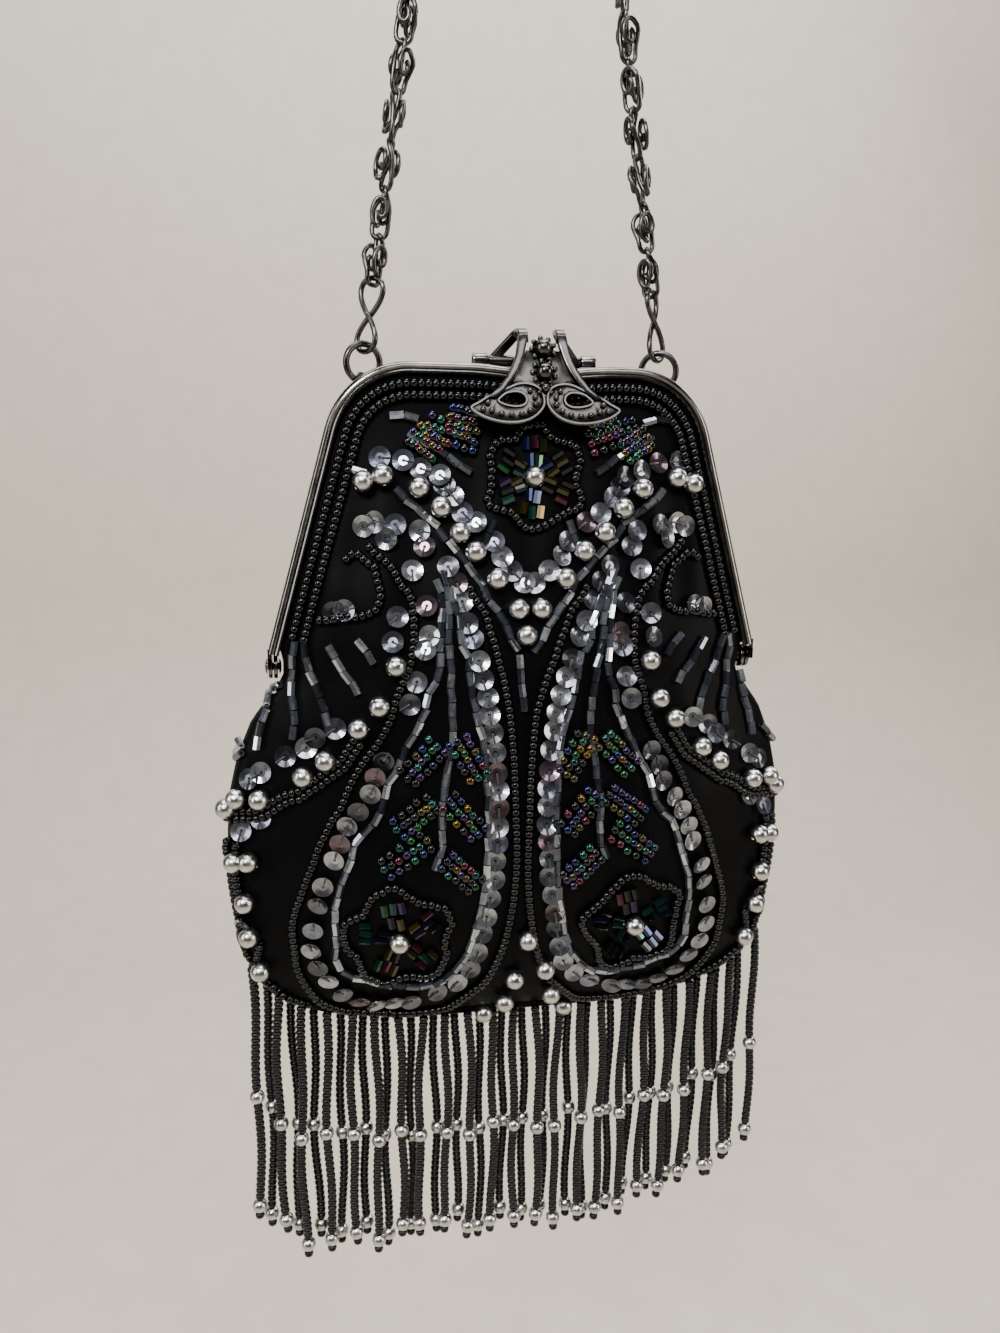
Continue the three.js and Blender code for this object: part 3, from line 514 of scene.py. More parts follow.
def photo_ray(pixel):
    """Direction from the view's place through a pixel."""
    across, down = ((p - size / 2) / VIEW_FOCAL for p, size in zip(pixel, PHOTO_SIZE))
    flat = Vector((across, down, 1))
    return (view_matrix().transposed() @ flat).normalized()


# A place off the pouch's front is drawn in step by step: a share across, and millimetres up near the bottom
EDGE_TRIES = 14
EDGE_PULL = 0.985
EDGE_LIFT = 0.35
LOW_EDGE = -120
SEAM_DEPTH = -2.0


class PouchFront:
    """The pouch's front as a surface to sew on, in millimetres."""

    tree = None

    @classmethod
    def from_mesh(cls, mesh):
        """Takes the finished pouch's faces."""
        verts = [v.co / MM - Vector((0, ZERO_Y, ZERO_Z)) for v in mesh.vertices]
        cls.tree = BVHTree.FromPolygons(verts, [list(p.vertices) for p in mesh.polygons])

    @classmethod
    def under_pixel(cls, pixel):
        """(x, z) of the place under a pixel; a pixel just off the outline is drawn in to it."""
        if cls.tree is None:
            raise RuntimeError("The pouch comes before its beading")
        ray = photo_ray(pixel)
        hit = cls.tree.ray_cast(VIEW_PLACE, ray)[0]
        if hit is None:
            hit = VIEW_PLACE + ray * ((SEAM_DEPTH - VIEW_PLACE.y) / ray.y)
        return hit.x, hit.z

    @classmethod
    def at(cls, x, z):
        """Point and outward normal on the front at (x, z)."""
        if cls.tree is None:
            raise RuntimeError("The pouch comes before its beading")
        for _ in range(EDGE_TRIES):
            hit, normal = cls.tree.ray_cast(Vector((x, -60, z)), Vector((0, 1, 0)))[:2]
            if hit is not None:
                return hit, (-normal if normal.y > 0 else normal)
            x *= EDGE_PULL
            z += EDGE_LIFT if z < LOW_EDGE else 0.0
        return Vector((x, -3, z)), Vector((0, -1, 0))


def centre_line(z):
    """Where the beading's middle runs: a little to the right at the top."""
    share = min(max((-20.0 - z) / 50.0, 0.0), 1.0)
    return 1.8 - 3.0 * share


def from_photo(pixels):
    """Places on the front under pixels of the photograph."""
    return [PouchFront.under_pixel(p) for p in pixels]


def mirrored(spots):
    """The same places on the other side of the beading's middle."""
    return [(2 * centre_line(z) - x, z) for x, z in spots]


def both(spots):
    """Left and right runs of one side's places."""
    return [spots, mirrored(spots)]


def spaced(spots, pitch):
    """Points every pitch along a smooth path on the panel: (point, normal, direction) in millimetres."""
    dense = smooth_path([(x, 0, z) for x, z in spots], 8)
    lifted = [PouchFront.at(p.x, p.z) for p in dense]
    out = []
    travelled, due = 0.0, pitch / 2
    for (a, na), (b, nb) in zip(lifted, lifted[1:]):
        length = (b - a).length
        while length > 0 and due <= travelled + length:
            share = (due - travelled) / length
            out.append((a.lerp(b, share), na.lerp(nb, share).normalized(), (b - a).normalized()))
            due += pitch
        travelled += length
    return out


# Beading routes, in the photograph's pixels

SILVER_BEADS = [
    (364, 482), (383, 476), (420, 488), (441, 508), (458, 533), (476, 552), (496, 579), (516, 609),
    (396, 665), (380, 705), (360, 727), (327, 759), (305, 775), (263, 798), (240, 797), (232, 806),
    (238, 859), (252, 859), (249, 899), (253, 933), (264, 966),
]
MIDDLE_SILVER = [
    (525, 635), (526, 935), (543, 963), (513, 972), (549, 986), (503, 994), (484, 1008), (565, 1001),
]
SEQUIN_ARC = [
    (380, 458), (403, 461), (421, 469), (440, 476), (444, 486), (452, 497), (462, 513), (476, 523),
    (494, 542), (501, 557), (511, 571), (524, 583),
]
SEQUIN_SIDE = [
    (364, 526), (376, 522), (395, 525), (387, 539), (420, 531), (425, 547), (412, 571), (427, 606),
    (397, 617), (393, 642), (430, 636), (426, 650), (417, 682), (410, 704), (316, 737), (336, 728),
    (286, 756), (307, 747), (262, 772), (251, 778), (262, 818), (243, 830), (240, 940), (246, 925),
    (334, 612), (345, 610),
]
SEQUIN_PAISLEY = [
    (448, 567), (456, 583), (462, 602), (467, 623), (473, 639), (479, 661), (483, 679), (487, 697),
    (489, 715), (492, 732), (495, 752), (496, 772), (498, 790), (498, 807), (498, 826), (497, 842),
    (495, 860), (494, 878), (490, 897), (486, 915), (482, 932), (477, 950), (470, 967), (457, 979),
    (437, 990), (411, 998), (394, 1000), (377, 1001), (360, 999), (343, 991), (329, 979), (319, 965),
    (312, 949), (314, 928), (319, 904), (324, 885), (335, 859), (341, 842), (348, 825), (359, 810),
    (371, 793), (376, 776), (384, 760),
]
VEE_BUGLES = [
    (395, 488), (404, 499), (416, 509), (427, 518), (435, 524), (442, 535), (454, 548), (465, 562),
    (473, 573), (483, 585), (488, 598), (496, 609), (504, 623), (511, 638), (519, 654),
]
VEE_TAIL = [(519, 654), (520, 668), (521, 684), (523, 700), (524, 716)]
STEMS = [
    [(436, 579), (440, 590), (441, 603), (442, 615), (440, 646), (440, 667), (435, 682), (428, 697),
     (425, 713)],
    [(442, 571), (446, 584), (449, 623), (448, 640), (451, 669), (451, 688), (452, 709), (453, 734),
     (450, 754), (447, 771), (444, 793), (442, 810), (442, 846), (436, 863)],
    [(444, 573), (454, 604), (460, 623), (462, 646), (469, 657), (470, 674), (473, 697)],
    [(473, 697), (478, 720), (484, 745), (486, 770), (488, 800), (488, 830), (487, 860), (484, 890),
     (479, 915), (472, 940), (462, 960), (442, 978), (430, 982), (413, 984), (399, 983), (384, 982),
     (370, 978), (357, 976), (345, 970), (337, 957), (337, 940), (336, 926), (336, 911), (338, 899),
     (341, 887), (346, 873), (351, 860), (357, 841), (373, 824), (382, 807), (389, 783), (397, 771),
     (406, 749), (413, 737), (425, 713)],
]
PAISLEY_SEEDS = [
    (469, 585), (474, 598), (480, 606), (486, 615), (490, 632), (493, 640), (497, 656), (500, 668),
    (503, 678), (507, 700), (509, 711), (512, 740), (514, 770), (515, 800), (516, 830), (516, 860),
    (514, 890), (510, 915), (504, 940), (496, 960), (484, 980), (472, 989), (457, 999), (442, 1006),
    (413, 1010), (377, 1013), (341, 1007), (321, 999), (307, 984), (298, 967), (295, 947), (293, 926),
    (297, 907), (301, 897), (307, 880), (314, 863), (319, 848), (326, 834), (333, 819), (341, 808),
    (347, 793), (355, 776), (367, 757), (377, 744), (390, 720), (396, 699), (405, 678), (410, 665),
    (413, 648), (414, 623), (413, 608), (411, 599), (406, 590), (400, 585), (394, 572), (387, 563),
    (381, 558), (374, 552), (366, 542),
]
LOBE_SEEDS = [
    (344, 562), (350, 555), (358, 554), (367, 562), (375, 567), (377, 576), (379, 585), (381, 594),
    (379, 603), (376, 610), (368, 614), (358, 617), (345, 616), (330, 620), (318, 620),
]
ROPE_SEEDS = [
    (223, 819), (244, 818), (256, 818), (265, 815), (275, 810), (282, 805), (292, 800), (302, 798),
    (309, 792), (316, 788), (324, 783), (330, 778), (338, 773), (347, 766), (353, 756), (363, 741),
]
EDGE_SEEDS = [
    [(230, 838), (228, 862), (231, 890), (237, 920), (243, 950), (252, 974), (272, 988), (294, 997),
     (312, 1004)],
    [(238, 842), (237, 862), (240, 888), (245, 912)],
    [(262, 985), (258, 962), (262, 940)],
]
FANS = [
    [(297, 640), (293, 658), (294, 672), (293, 695), (296, 716), (293, 742)],
    [(304, 642), (309, 664), (316, 684), (324, 707), (328, 722)],
    [(328, 645), (336, 658), (343, 670), (352, 682), (359, 694)],
    [(357, 640), (365, 649), (374, 663)],
    [(273, 684), (268, 708), (261, 731), (257, 756)],
    [(245, 740), (236, 752), (227, 762)],
]
LEAVES = [
    ((440, 742), (405, 780)), ((435, 800), (395, 830)), ((430, 837), (382, 870)),
    ((456, 737), (480, 780)), ((446, 797), (480, 835)), ((444, 858), (478, 886)),
]
TOP_CLUSTERS = [((424, 424), (478, 444)), ((448, 416), (474, 424)), ((412, 432), (440, 452))]
DARK_BUGLES = [
    [(389, 417), (400, 415), (412, 418)],
    [(407, 434), (423, 443), (439, 452), (453, 461), (467, 471)],
    [(494, 520), (488, 536), (483, 547)],
    [(352, 470), (364, 472)],
]
PAISLEY_FLOWER = (400, 938)
TOP_FLOWER = (534, 478)

# Tints of the coated beads
def tints_of(codes):
    """Linear colours from sRGB hex values in one line."""
    return [to_linear(code) for code in codes.split()]


STEEL_TINTS = tints_of("#868c98 #a3aab6 #525863 #c2c7cf #737a86")
SEQUIN_TINTS = tints_of("#85878f #a9abb2 #63656e #96989f #70717a #46484f #66565e #767888")
OIL_TINTS = tints_of(
    "#0f4a48 #12265e #3a2258 #6a5214 #5e1c34 #14552f #0d1c4a #1f5f52 #4a4620 #15171c #101318 #1c1a24")


# Bead shapes


def ring_bead(width, length, hole, sides):
    """Round bead with a hole along Z."""
    r, h = width / 2, length / 2
    below = [(hole / 2, -h * 0.7), (r * 0.68, -h), (r * 0.93, -h * 0.6)]
    above = [(along, -height) for along, height in reversed(below)]
    return spun(below + [(r, 0)] + above, sides)


def ball_bead(width, hole, sides, rows):
    """Ball with a drilled hole along Z."""
    r = width / 2
    edge = math.asin(hole / 2 / r)
    angles = [edge + (math.pi - 2 * edge) * i / rows for i in range(rows + 1)]
    outer = [(r * math.sin(a), r * math.cos(a)) for a in angles]
    inner = [(hole / 2 * 0.9, -r * 0.72), (hole / 2 * 0.9, r * 0.72)]
    return spun(outer + inner, sides)


def cup_sequin(width, sides):
    """Shallow dished disc with a pierced middle, facing Z."""
    r = width / 2
    wall = 0.12 * MM
    dish = 0.15 * r
    outer = [(0.15 * r, 0.0), (0.45 * r, 0.0), (r, dish)]
    return spun(outer + [(rr, zz + wall) for rr, zz in reversed(outer)], sides)


def cut_tube(width, length, sides):
    """Faceted glass tube along Z."""
    r, h = width / 2, length / 2
    return spun([(r * 0.45, -h), (r, -h), (r, h), (r * 0.45, h)], sides)


# The pouch

POUCH_COLUMNS = 72
POUCH_ROWS = 84
CLOTH = 1.2
# Depth of the panels' free edges in the open neck
NECK_EDGE = 3.5
# Share of the height at the bottom where the rows crowd, for the rounded lower edge
CROWDED = 0.18
CROWDING = 1.7
# Gathers: the height they centre on and how far they reach, then the depths of the three kinds of fold
GATHER_AT = -30
GATHER_REACH = 34
RIPPLE_DEPTH = 0.45
SLACK_DEPTH = 1.1
CREASE_DEPTH = 0.45
BACK_RIPPLE = 1.6
FRONT_CALM = 0.6


def solid_tree(node):
    """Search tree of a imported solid, in the purse's own millimetres."""
    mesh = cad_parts[node].data
    verts = [v.co / MM - Vector((0, ZERO_Y, ZERO_Z)) for v in mesh.vertices]
    return BVHTree.FromPolygons(verts, [list(p.vertices) for p in mesh.polygons])


def pouch_edge(tree, z):
    """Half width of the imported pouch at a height: of its front wall in the open neck, of the seam below."""
    start = Vector((120, -NECK_EDGE + 0.6 if z > -RIM_HEIGHT - 1.5 else -0.5, z))
    hit = tree.ray_cast(start, Vector((-1, 0, 0)))[0]
    return hit.x if hit else 0.0


def gather(x, z, back):
    """Soft vertical puckers under the frame and slack waves lower down, in millimetres outwards."""
    near_rim = math.exp(-((z - GATHER_AT) / GATHER_REACH) ** 2)
    ripple = math.sin(x * 0.55 + 1.3 * math.sin(z * 0.05)) * RIPPLE_DEPTH * near_rim
    slack = noise.noise(Vector((x * 0.035, 3.0 if back else 0.0, z * 0.03))) * SLACK_DEPTH
    crease = noise.noise(Vector((x * 0.12, 7.0 if back else 4.0, z * 0.10))) * CREASE_DEPTH
    return (ripple * (BACK_RIPPLE if back else 1.0) + slack + crease) * (1.0 if back else FRONT_CALM)


def smooth_share(value, low, high):
    """Rises smoothly from 0 at low to 1 at high."""
    share = min(max((value - low) / (high - low), 0.0), 1.0)
    return share * share * (3 - 2 * share)


def panel_bm(tree, side, low, high):
    """One panel of the pouch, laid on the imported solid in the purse's own millimetres."""
    bm = bmesh.new()
    bmesh.ops.create_grid(bm, x_segments=POUCH_COLUMNS, y_segments=POUCH_ROWS, size=1.0)
    depths = {}
    for vert in sorted(bm.verts, key=lambda v: v.co.y):
        u, v = vert.co.x, (vert.co.y + 1) / 2
        share = v if v > CROWDED else CROWDED * (v / CROWDED) ** CROWDING
        z = low + 0.1 + (high - low - 0.2) * share
        half = pouch_edge(tree, z) - 0.05
        x = half * (math.sin(u * math.pi / 2) + u) / 2
        z -= rim_dip(x) * smooth_share(z, -RIM_CORNER, -RIM_DIP)
        hit = tree.ray_cast(Vector((x, 60 * side, z)), Vector((0, -side, 0)))[0]
        depth = abs(hit.y) if hit else depths.get(round(u, 4), 3.0)
        depths[round(u, 4)] = depth
        if v < 0.001:
            depth = 0.0
        elif abs(u) > 0.999:
            depth = NECK_EDGE * smooth_share(z, -RIM_HEIGHT - 8, -RIM_HEIGHT - 1)
        vert.co = Vector((x, side * depth, z))
    inner = [v for v in bm.verts if not v.is_boundary]
    for _ in range(2):
        bmesh.ops.smooth_vert(bm, verts=inner, factor=0.5, use_axis_y=True)
    for vert in inner:
        ease = smooth_share(abs(vert.co.y), 3.6, 6.4)
        vert.co.y += side * gather(vert.co.x, vert.co.z, side > 0) * ease
    if side > 0:
        bmesh.ops.reverse_faces(bm, faces=bm.faces)
    return bm


def build_pouch():
    """Front and back panels sewn together below the hinges, open above them, with a wall."""
    tree = solid_tree("pouch_shell")
    low, high = (v.z / MM - ZERO_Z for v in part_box("pouch_shell"))
    bm = joined([mesh_of(panel_bm(tree, side, low, high)) for side in (-1, 1)])
    seam = [v for v in bm.verts if v.is_boundary and abs(v.co.y) < 0.01]
    bmesh.ops.remove_doubles(bm, verts=seam, dist=0.02)
    into_frame = Matrix.Scale(MM, 4) @ Matrix.Translation((0, ZERO_Y, ZERO_Z))
    bmesh.ops.transform(bm, matrix=into_frame, verts=bm.verts)
    bmesh.ops.recalc_face_normals(bm, faces=bm.faces)
    foremost = max(bm.faces, key=lambda f: -f.calc_center_median().y)
    if foremost.normal.y > 0:
        bmesh.ops.reverse_faces(bm, faces=bm.faces)
    mesh = mesh_of(bm)
    PouchFront.from_mesh(mesh)
    obj = piece_from(mesh, "satin_pouch", "black_woven_satin", "purse", ["pouch_shell"])
    wall = obj.modifiers.new("wall", "SOLIDIFY")
    wall.thickness = CLOTH * MM
    wall.offset = -1
    return obj


class PURSE_OT_pouch(bpy.types.Operator):
    """Builds the satin pouch"""

    bl_idname = "purse.pouch"
    bl_label = "Satin pouch"

    def execute(self, context):
        build_pouch()
        if PouchFront.tree is None:
            raise RuntimeError("The pouch has no front to sew on")
        return {"FINISHED"}


# The frame


def rim_dip(x):
    """How far the rim sags beside the clasp, in millimetres."""
    share = min(max((x - CLASP_SHIFT) / RIM_DIP_HALF, -1.0), 1.0)
    return RIM_DIP * math.cos(share * math.pi / 2) ** 2


def rim_stations(corner_steps=14, top_steps=28, end_lift=0.0):
    """(x, z, out_x, out_z) along the rim from the left hinge over the top to the right one."""
    sweep = math.pi / 2 - RIM_SPLAY
    right = []
    for i in range(1, corner_steps + 1):
        angle = sweep * i / corner_steps
        out = (math.sin(angle), math.cos(angle))
        right.append((RIM_TOP_HALF + RIM_CORNER * out[0], RIM_CORNER * (out[1] - 1), *out))
    x, z, ox, oz = right[-1]
    for share in (0.33, 0.66, 1.0):
        drop = (RIM_HEIGHT - end_lift + z) * share
        right.append((x + drop * math.tan(RIM_SPLAY), z - drop, ox, oz))
    left = [(-a, b, -c, d) for a, b, c, d in reversed(right)]
    top = []
    for i in range(top_steps + 1):
        px = RIM_TOP_HALF * (2 * i / top_steps - 1)
        top.append((px, -rim_dip(px), 0.0, 1.0))
    return left + top + right


def lofted(rings):
    """Bar whose loop is extruded from ring to ring of points, in metres, and closed at both ends."""
    bm = bmesh.new()
    loop = [bm.verts.new(point) for point in rings[0]]
    edges = [bm.edges.new((loop[i], loop[(i + 1) % len(loop)])) for i in range(len(loop))]
    first = list(edges)
    for ring in rings[1:]:
        grown = bmesh.ops.extrude_edge_only(bm, edges=edges)["geom"]
        verts = {g for g in grown if isinstance(g, bmesh.types.BMVert)}
        edges = [g for g in grown if isinstance(g, bmesh.types.BMEdge)]
        loop = [next(e.other_vert(v) for e in v.link_edges if e.other_vert(v) in verts) for v in loop]
        for vert, point in zip(loop, ring):
            vert.co = point
    bmesh.ops.contextual_create(bm, geom=first)
    bmesh.ops.contextual_create(bm, geom=edges)
    bmesh.ops.recalc_face_normals(bm, faces=bm.faces)
    return bm


def rim_bar(profile):
    """Bar along the rim, from its section of (outwards, back) points."""
    rings = []
    for x, z, ox, oz in rim_stations():
        rings.append([place((x + ox * n, y, z + oz * n)) for n, y in profile])
    return lofted(rings)


# Flange with an inner lip, a step and an outer roll; then the web and the inner faces of the channel
BAR_PROFILE = [
    (0.0, -3.8), (0.0, -4.45), (0.2, -4.68), (0.55, -4.68), (0.8, -4.5), (0.95, -4.42), (1.1, -4.62),
    (1.45, -4.8), (1.85, -4.72), (2.2, -4.4), (2.38, -3.95), (2.42, -3.4), (2.42, -0.15), (0.0, -0.15),
    (0.0, -0.95), (1.6, -0.95), (1.6, -3.8),
]


def box_bm(low, high, bevel=0.15):
    """Box between two corners in the purse's own millimetres, its edges softened."""
    bm = bmesh.new()
    bmesh.ops.create_cube(bm, size=1.0)
    a, b = place(low), place(high)
    size = b - a
    matrix = Matrix.Translation((a + b) / 2) @ Matrix.Diagonal((*[abs(s) for s in size], 1))
    bmesh.ops.transform(bm, matrix=matrix, verts=bm.verts)
    round_edges(bm, bevel * MM)
    return bm


def disc_bm(radius, thick, centre, hole=0.0, axis=(1, 0, 0), sides=32, soft=0.12):
    """Disc or washer with softened rims, at a place in the purse's own millimetres."""
    r, h, s = radius * MM, thick * MM / 2, soft * MM
    inner = max(hole, 0.02) * MM
    profile = [(inner, -h), (r - s, -h), (r - s * 0.3, -h + s * 0.3), (r, -h + s), (r, h - s),
               (r - s * 0.3, h - s * 0.3), (r - s, h), (inner, h)]
    bm = spun(profile, sides, axis)
    bmesh.ops.transform(bm, matrix=Matrix.Translation(place(centre)), verts=bm.verts)
    return bm


def dome_bm(radius, height, centre, out):
    """Rivet head, domed along X towards out."""
    r, h = radius * MM, height * MM
    middle = 0.02 * MM
    profile = [(middle, 0), (r, 0), (r * 0.96, h * 0.45), (r * 0.7, h * 0.82), (r * 0.3, h), (middle, h)]
    bm = spun(profile, 24, (out, 0, 0))
    bmesh.ops.transform(bm, matrix=Matrix.Translation(place(centre)), verts=bm.verts)
    return bm


EAR_RADIUS = 2.6
EAR_THICK = 0.8
EAR_GAP = 0.3
EAR_BORE = 1.1
RIM_END = rim_stations()[-1]
EAR_OUT = RIM_END[0] + RIM_END[2] * BAR_WIDTH
EAR_Z = -RIM_HEIGHT - EAR_GAP - EAR_RADIUS
RIVET_HEAD = 1.6
RIVET_SHANK = 0.8
LUG_ANGLE = math.radians(33)
LUG_TURN = math.radians(-22)
LUG_REACH = RIM_CORNER + BAR_WIDTH - 0.5
LUG = (RIM_TOP_HALF + LUG_REACH * math.sin(LUG_ANGLE), 6.3, -RIM_CORNER + LUG_REACH * math.cos(LUG_ANGLE))
# Back and height of the clasp's pin, and how far its knuckles stand from the lever's middle
HINGE = (3.6, 3.8)
KNUCKLE_REACH = 11.9
KNUCKLE_HALF = 1.6


def ear_parts(side, hand):
    """Hinge ear under one end of a bar."""
    end = EAR_OUT if side < 0 else EAR_OUT - EAR_THICK - EAR_GAP
    start = end - EAR_THICK
    ys = sorted((side * EAR_GAP, side * FRAME_HALF_DEPTH))
    ends = sorted((hand * start, hand * end))
    flange = sorted((side * 3.8, side * FRAME_HALF_DEPTH))
    return [
        box_bm((ends[0], ys[0], EAR_Z), (ends[1], ys[1], -RIM_HEIGHT - EAR_GAP)),
        box_bm((ends[0], flange[0], EAR_Z), (ends[1], flange[1], -RIM_HEIGHT + 1.6)),
        disc_bm(EAR_RADIUS, EAR_THICK, (hand * (start + end) / 2, 0, EAR_Z), EAR_BORE),
    ]


def metal_piece(parts, name, material, body, replaced, crisp=35):
    """One piece of metal from several parts, with crisp edges above that angle."""
    mesh = mesh_of(joined([mesh_of(bm) for bm in parts]))
    return sharpen(piece_from(mesh, name, material, body, replaced), crisp)


class PURSE_OT_frame(bpy.types.Operator):
    """Builds both half frames with their ears, lugs, knuckles and rivets"""

    bl_idname = "purse.frame"
    bl_label = "Metal frame"

    def execute(self, context):
        for side, name in ((-1, "frame_front"), (1, "frame_back")):
            parts = [rim_bar([(n, -side * y) for n, y in BAR_PROFILE])]
            for hand in (-1, 1):
                parts += ear_parts(side, hand)
            if side > 0:
                for hand in (-1, 1):
                    turn = LUG_TURN * hand
                    axis = (math.cos(turn), math.sin(turn), 0.17 * hand)
                    parts.append(disc_bm(2.0, 1.4, (hand * LUG[0], LUG[1], LUG[2]), 1.15, axis, 28, 0.3))
                    middle = CLASP_SHIFT + hand * KNUCKLE_REACH
                    left, right = middle - KNUCKLE_HALF, middle + KNUCKLE_HALF
                    parts.append(disc_bm(1.5, 2 * KNUCKLE_HALF, (middle, *HINGE), 0.9, (1, 0, 0), 24, 0.2))
                    top = HINGE[1] - 0.9
                    parts.append(box_bm((left, HINGE[0] - 1.2, 1.4), (right, FRAME_HALF_DEPTH, top)))
            metal_piece(parts, f"{name}_bar", "dark_nickel_plate", "purse", [name])
        inside = EAR_OUT - 2 * EAR_THICK - 2 * EAR_GAP
        for hand, word in ((-1, "left"), (1, "right")):
            middle = hand * (EAR_OUT + inside) / 2
            parts = [
                dome_bm(RIVET_HEAD, 0.55, (hand * (EAR_OUT + 0.25), 0, EAR_Z), hand),
                dome_bm(RIVET_HEAD, 0.5, (hand * inside, 0, EAR_Z), -hand),
                disc_bm(RIVET_SHANK, EAR_OUT - inside + 0.4, (middle, 0, EAR_Z), 0, (1, 0, 0), 16),
            ]
            metal_piece(parts, f"rivet_{word}", "dark_nickel_plate", "purse", [f"hinge_rivet_{word}"])
        return {"FINISHED"}


# The clasp

LEVER_TILT = math.radians(18)
LEVER_BACK = 5.7
ARM_TOP = 8.4
FOOT_THICK = 0.75
ARM_THICK = 1.35
EDGE_HEIGHT = 0.85
KNOB_RADIUS = 0.62
STRAP_TOP = 9.3
STRAP_WIDTH = 2.1
STRAP_THICK = 1.1
BARREL = (1.2, 20.0)
PIN = (0.6, 26.6)

# Right half of the lever, across and up from its middle
ARM_OUTLINE = [
    (5.1, 8.4), (5.35, 6.6), (5.75, 4.6), (6.3, 2.8), (7.1, 1.1), (8.2, -0.9), (9.8, -3.1), (12.1, -5.3),
    (10.4, -5.6), (8.3, -3.6), (6.6, -1.4), (5.5, 0.4), (4.7, 2.2), (4.0, 4.2), (3.5, 6.2), (3.0, 8.4),
]
FOOT_OUTLINE = [
    (12.1, -5.2), (13.9, -6.4), (15.6, -7.4), (15.1, -8.2), (13.7, -9.1), (12, -9.8), (10, -10.3),
    (8, -10.5), (6, -10.4), (4, -9.9), (2.5, -9.1), (1.3, -8.0), (0.5, -6.8), (0.35, -5.6), (0.6, -4.2),
    (1.3, -3.1), (2.6, -2.4), (4.3, -2.1), (6, -2.4), (7.3, -3.0), (8.4, -3.5), (10, -4.4),
]
EYE_OUTLINE = [
    (10.0, -5.9), (9.2, -5.0), (8.2, -4.3), (6.8, -3.95), (5.4, -4.0), (4.4, -4.6), (4.0, -5.5),
    (4.3, -6.4), (5.2, -6.95), (6.6, -7.1), (8.1, -6.9), (9.3, -6.5),
]
KNOBS = [
    (13.2, -7.9), (11.4, -8.1), (9.4, -8.7), (7.3, -8.9), (5.2, -8.7), (3.4, -7.9), (2.2, -6.6), (2.2, -5.1),
    (3.2, -3.7), (12.2, -6.5),
]


# The web between the arms, its right half, and the flowers on it: height, ball radius, petals, petal radius
WEB_HALF = [(3.6, 5.2), (4.5, 2.6), (5.6, 0.3), (7.0, -1.6), (4.4, -2.6), (2.4, -3.4), (1.2, -5.2)]
LEVER_FLOWERS = ((5.4, 1.85, 9, 0.62), (0.3, 1.85, 9, 0.62), (-3.2, 0.95, 6, 0.42))
PETAL_REACH = 0.55
STRAP_SECTION = ((-1, -0.5), (-0.8, -1), (0.8, -1), (1, -0.5), (1, 0.5), (0.8, 1), (-0.8, 1), (-1, 0.5))


def lever_matrix():
    """From the lever's flat drawing to its tilted place in front of the frame."""
    tilt = Matrix((
        (1, 0, 0, 0),
        (0, math.sin(LEVER_TILT), -math.cos(LEVER_TILT), -LEVER_BACK),
        (0, math.cos(LEVER_TILT), math.sin(LEVER_TILT), 0),
        (0, 0, 0, 1),
    ))
    return Matrix.Scale(MM, 4) @ Matrix.Translation((CLASP_SHIFT, ZERO_Y, ZERO_Z)) @ tilt


def outline_plate(outline, low, high, bevel=0.15, hole=None):
    """Flat plate from an outline, from one height to another, its rims softened."""
    bm = bmesh.new()
    loops = [outline] + ([hole] if hole else [])
    edges = []
    for loop in loops:
        verts = [bm.verts.new((x, y, low)) for x, y in loop]
        edges += [bm.edges.new((verts[i], verts[(i + 1) % len(verts)])) for i in range(len(verts))]
    bmesh.ops.triangle_fill(bm, edges=edges, use_beauty=True)
    grown = bmesh.ops.extrude_face_region(bm, geom=bm.faces[:])["geom"]
    raised = [g for g in grown if isinstance(g, bmesh.types.BMVert)]
    bmesh.ops.translate(bm, vec=(0, 0, high - low), verts=raised)
    bmesh.ops.recalc_face_normals(bm, faces=bm.faces)
    rims = [e for e in bm.edges if e.is_manifold and e.calc_face_angle() > math.radians(60)
            and min(v.co.z for v in e.verts) > high - 0.01]
    bmesh.ops.bevel(bm, geom=rims, offset=bevel, affect="EDGES", segments=2, profile=0.5, material=-1,
                    clamp_overlap=True)
    return bm


def edge_wire(outline, height, radius, closed=True):
    """Raised wire that follows an outline, in the drawing's millimetres."""
    points = [(x, y, height) for x, y in outline]
    bm = bmesh.new()
    bm.from_mesh(wire_mesh(smooth_path(points, 3, closed), radius, closed, 1))
    return bm


def ball_bm(radius, centre, sides, rows, flat=1.0):
    """Ball, flattened by a share along Z."""
    bm = bmesh.new()
    bmesh.ops.create_uvsphere(bm, u_segments=sides, v_segments=rows, radius=radius)
    matrix = Matrix.Translation(centre) @ Matrix.Diagonal((1, 1, flat, 1))
    bmesh.ops.transform(bm, matrix=matrix, verts=bm.verts)
    return bm


def mirrored_bm(bm):
    """A shape and its mirror image across x = 0, faces outwards on both."""
    mesh = mesh_of(bm)
    both_sides = joined([mesh, mesh], [Matrix.Identity(4), Matrix.Scale(-1, 4, (1, 0, 0))])
    half = len(mesh.polygons)
    both_sides.faces.ensure_lookup_table()
    bmesh.ops.reverse_faces(both_sides, faces=both_sides.faces[half:])
    return both_sides


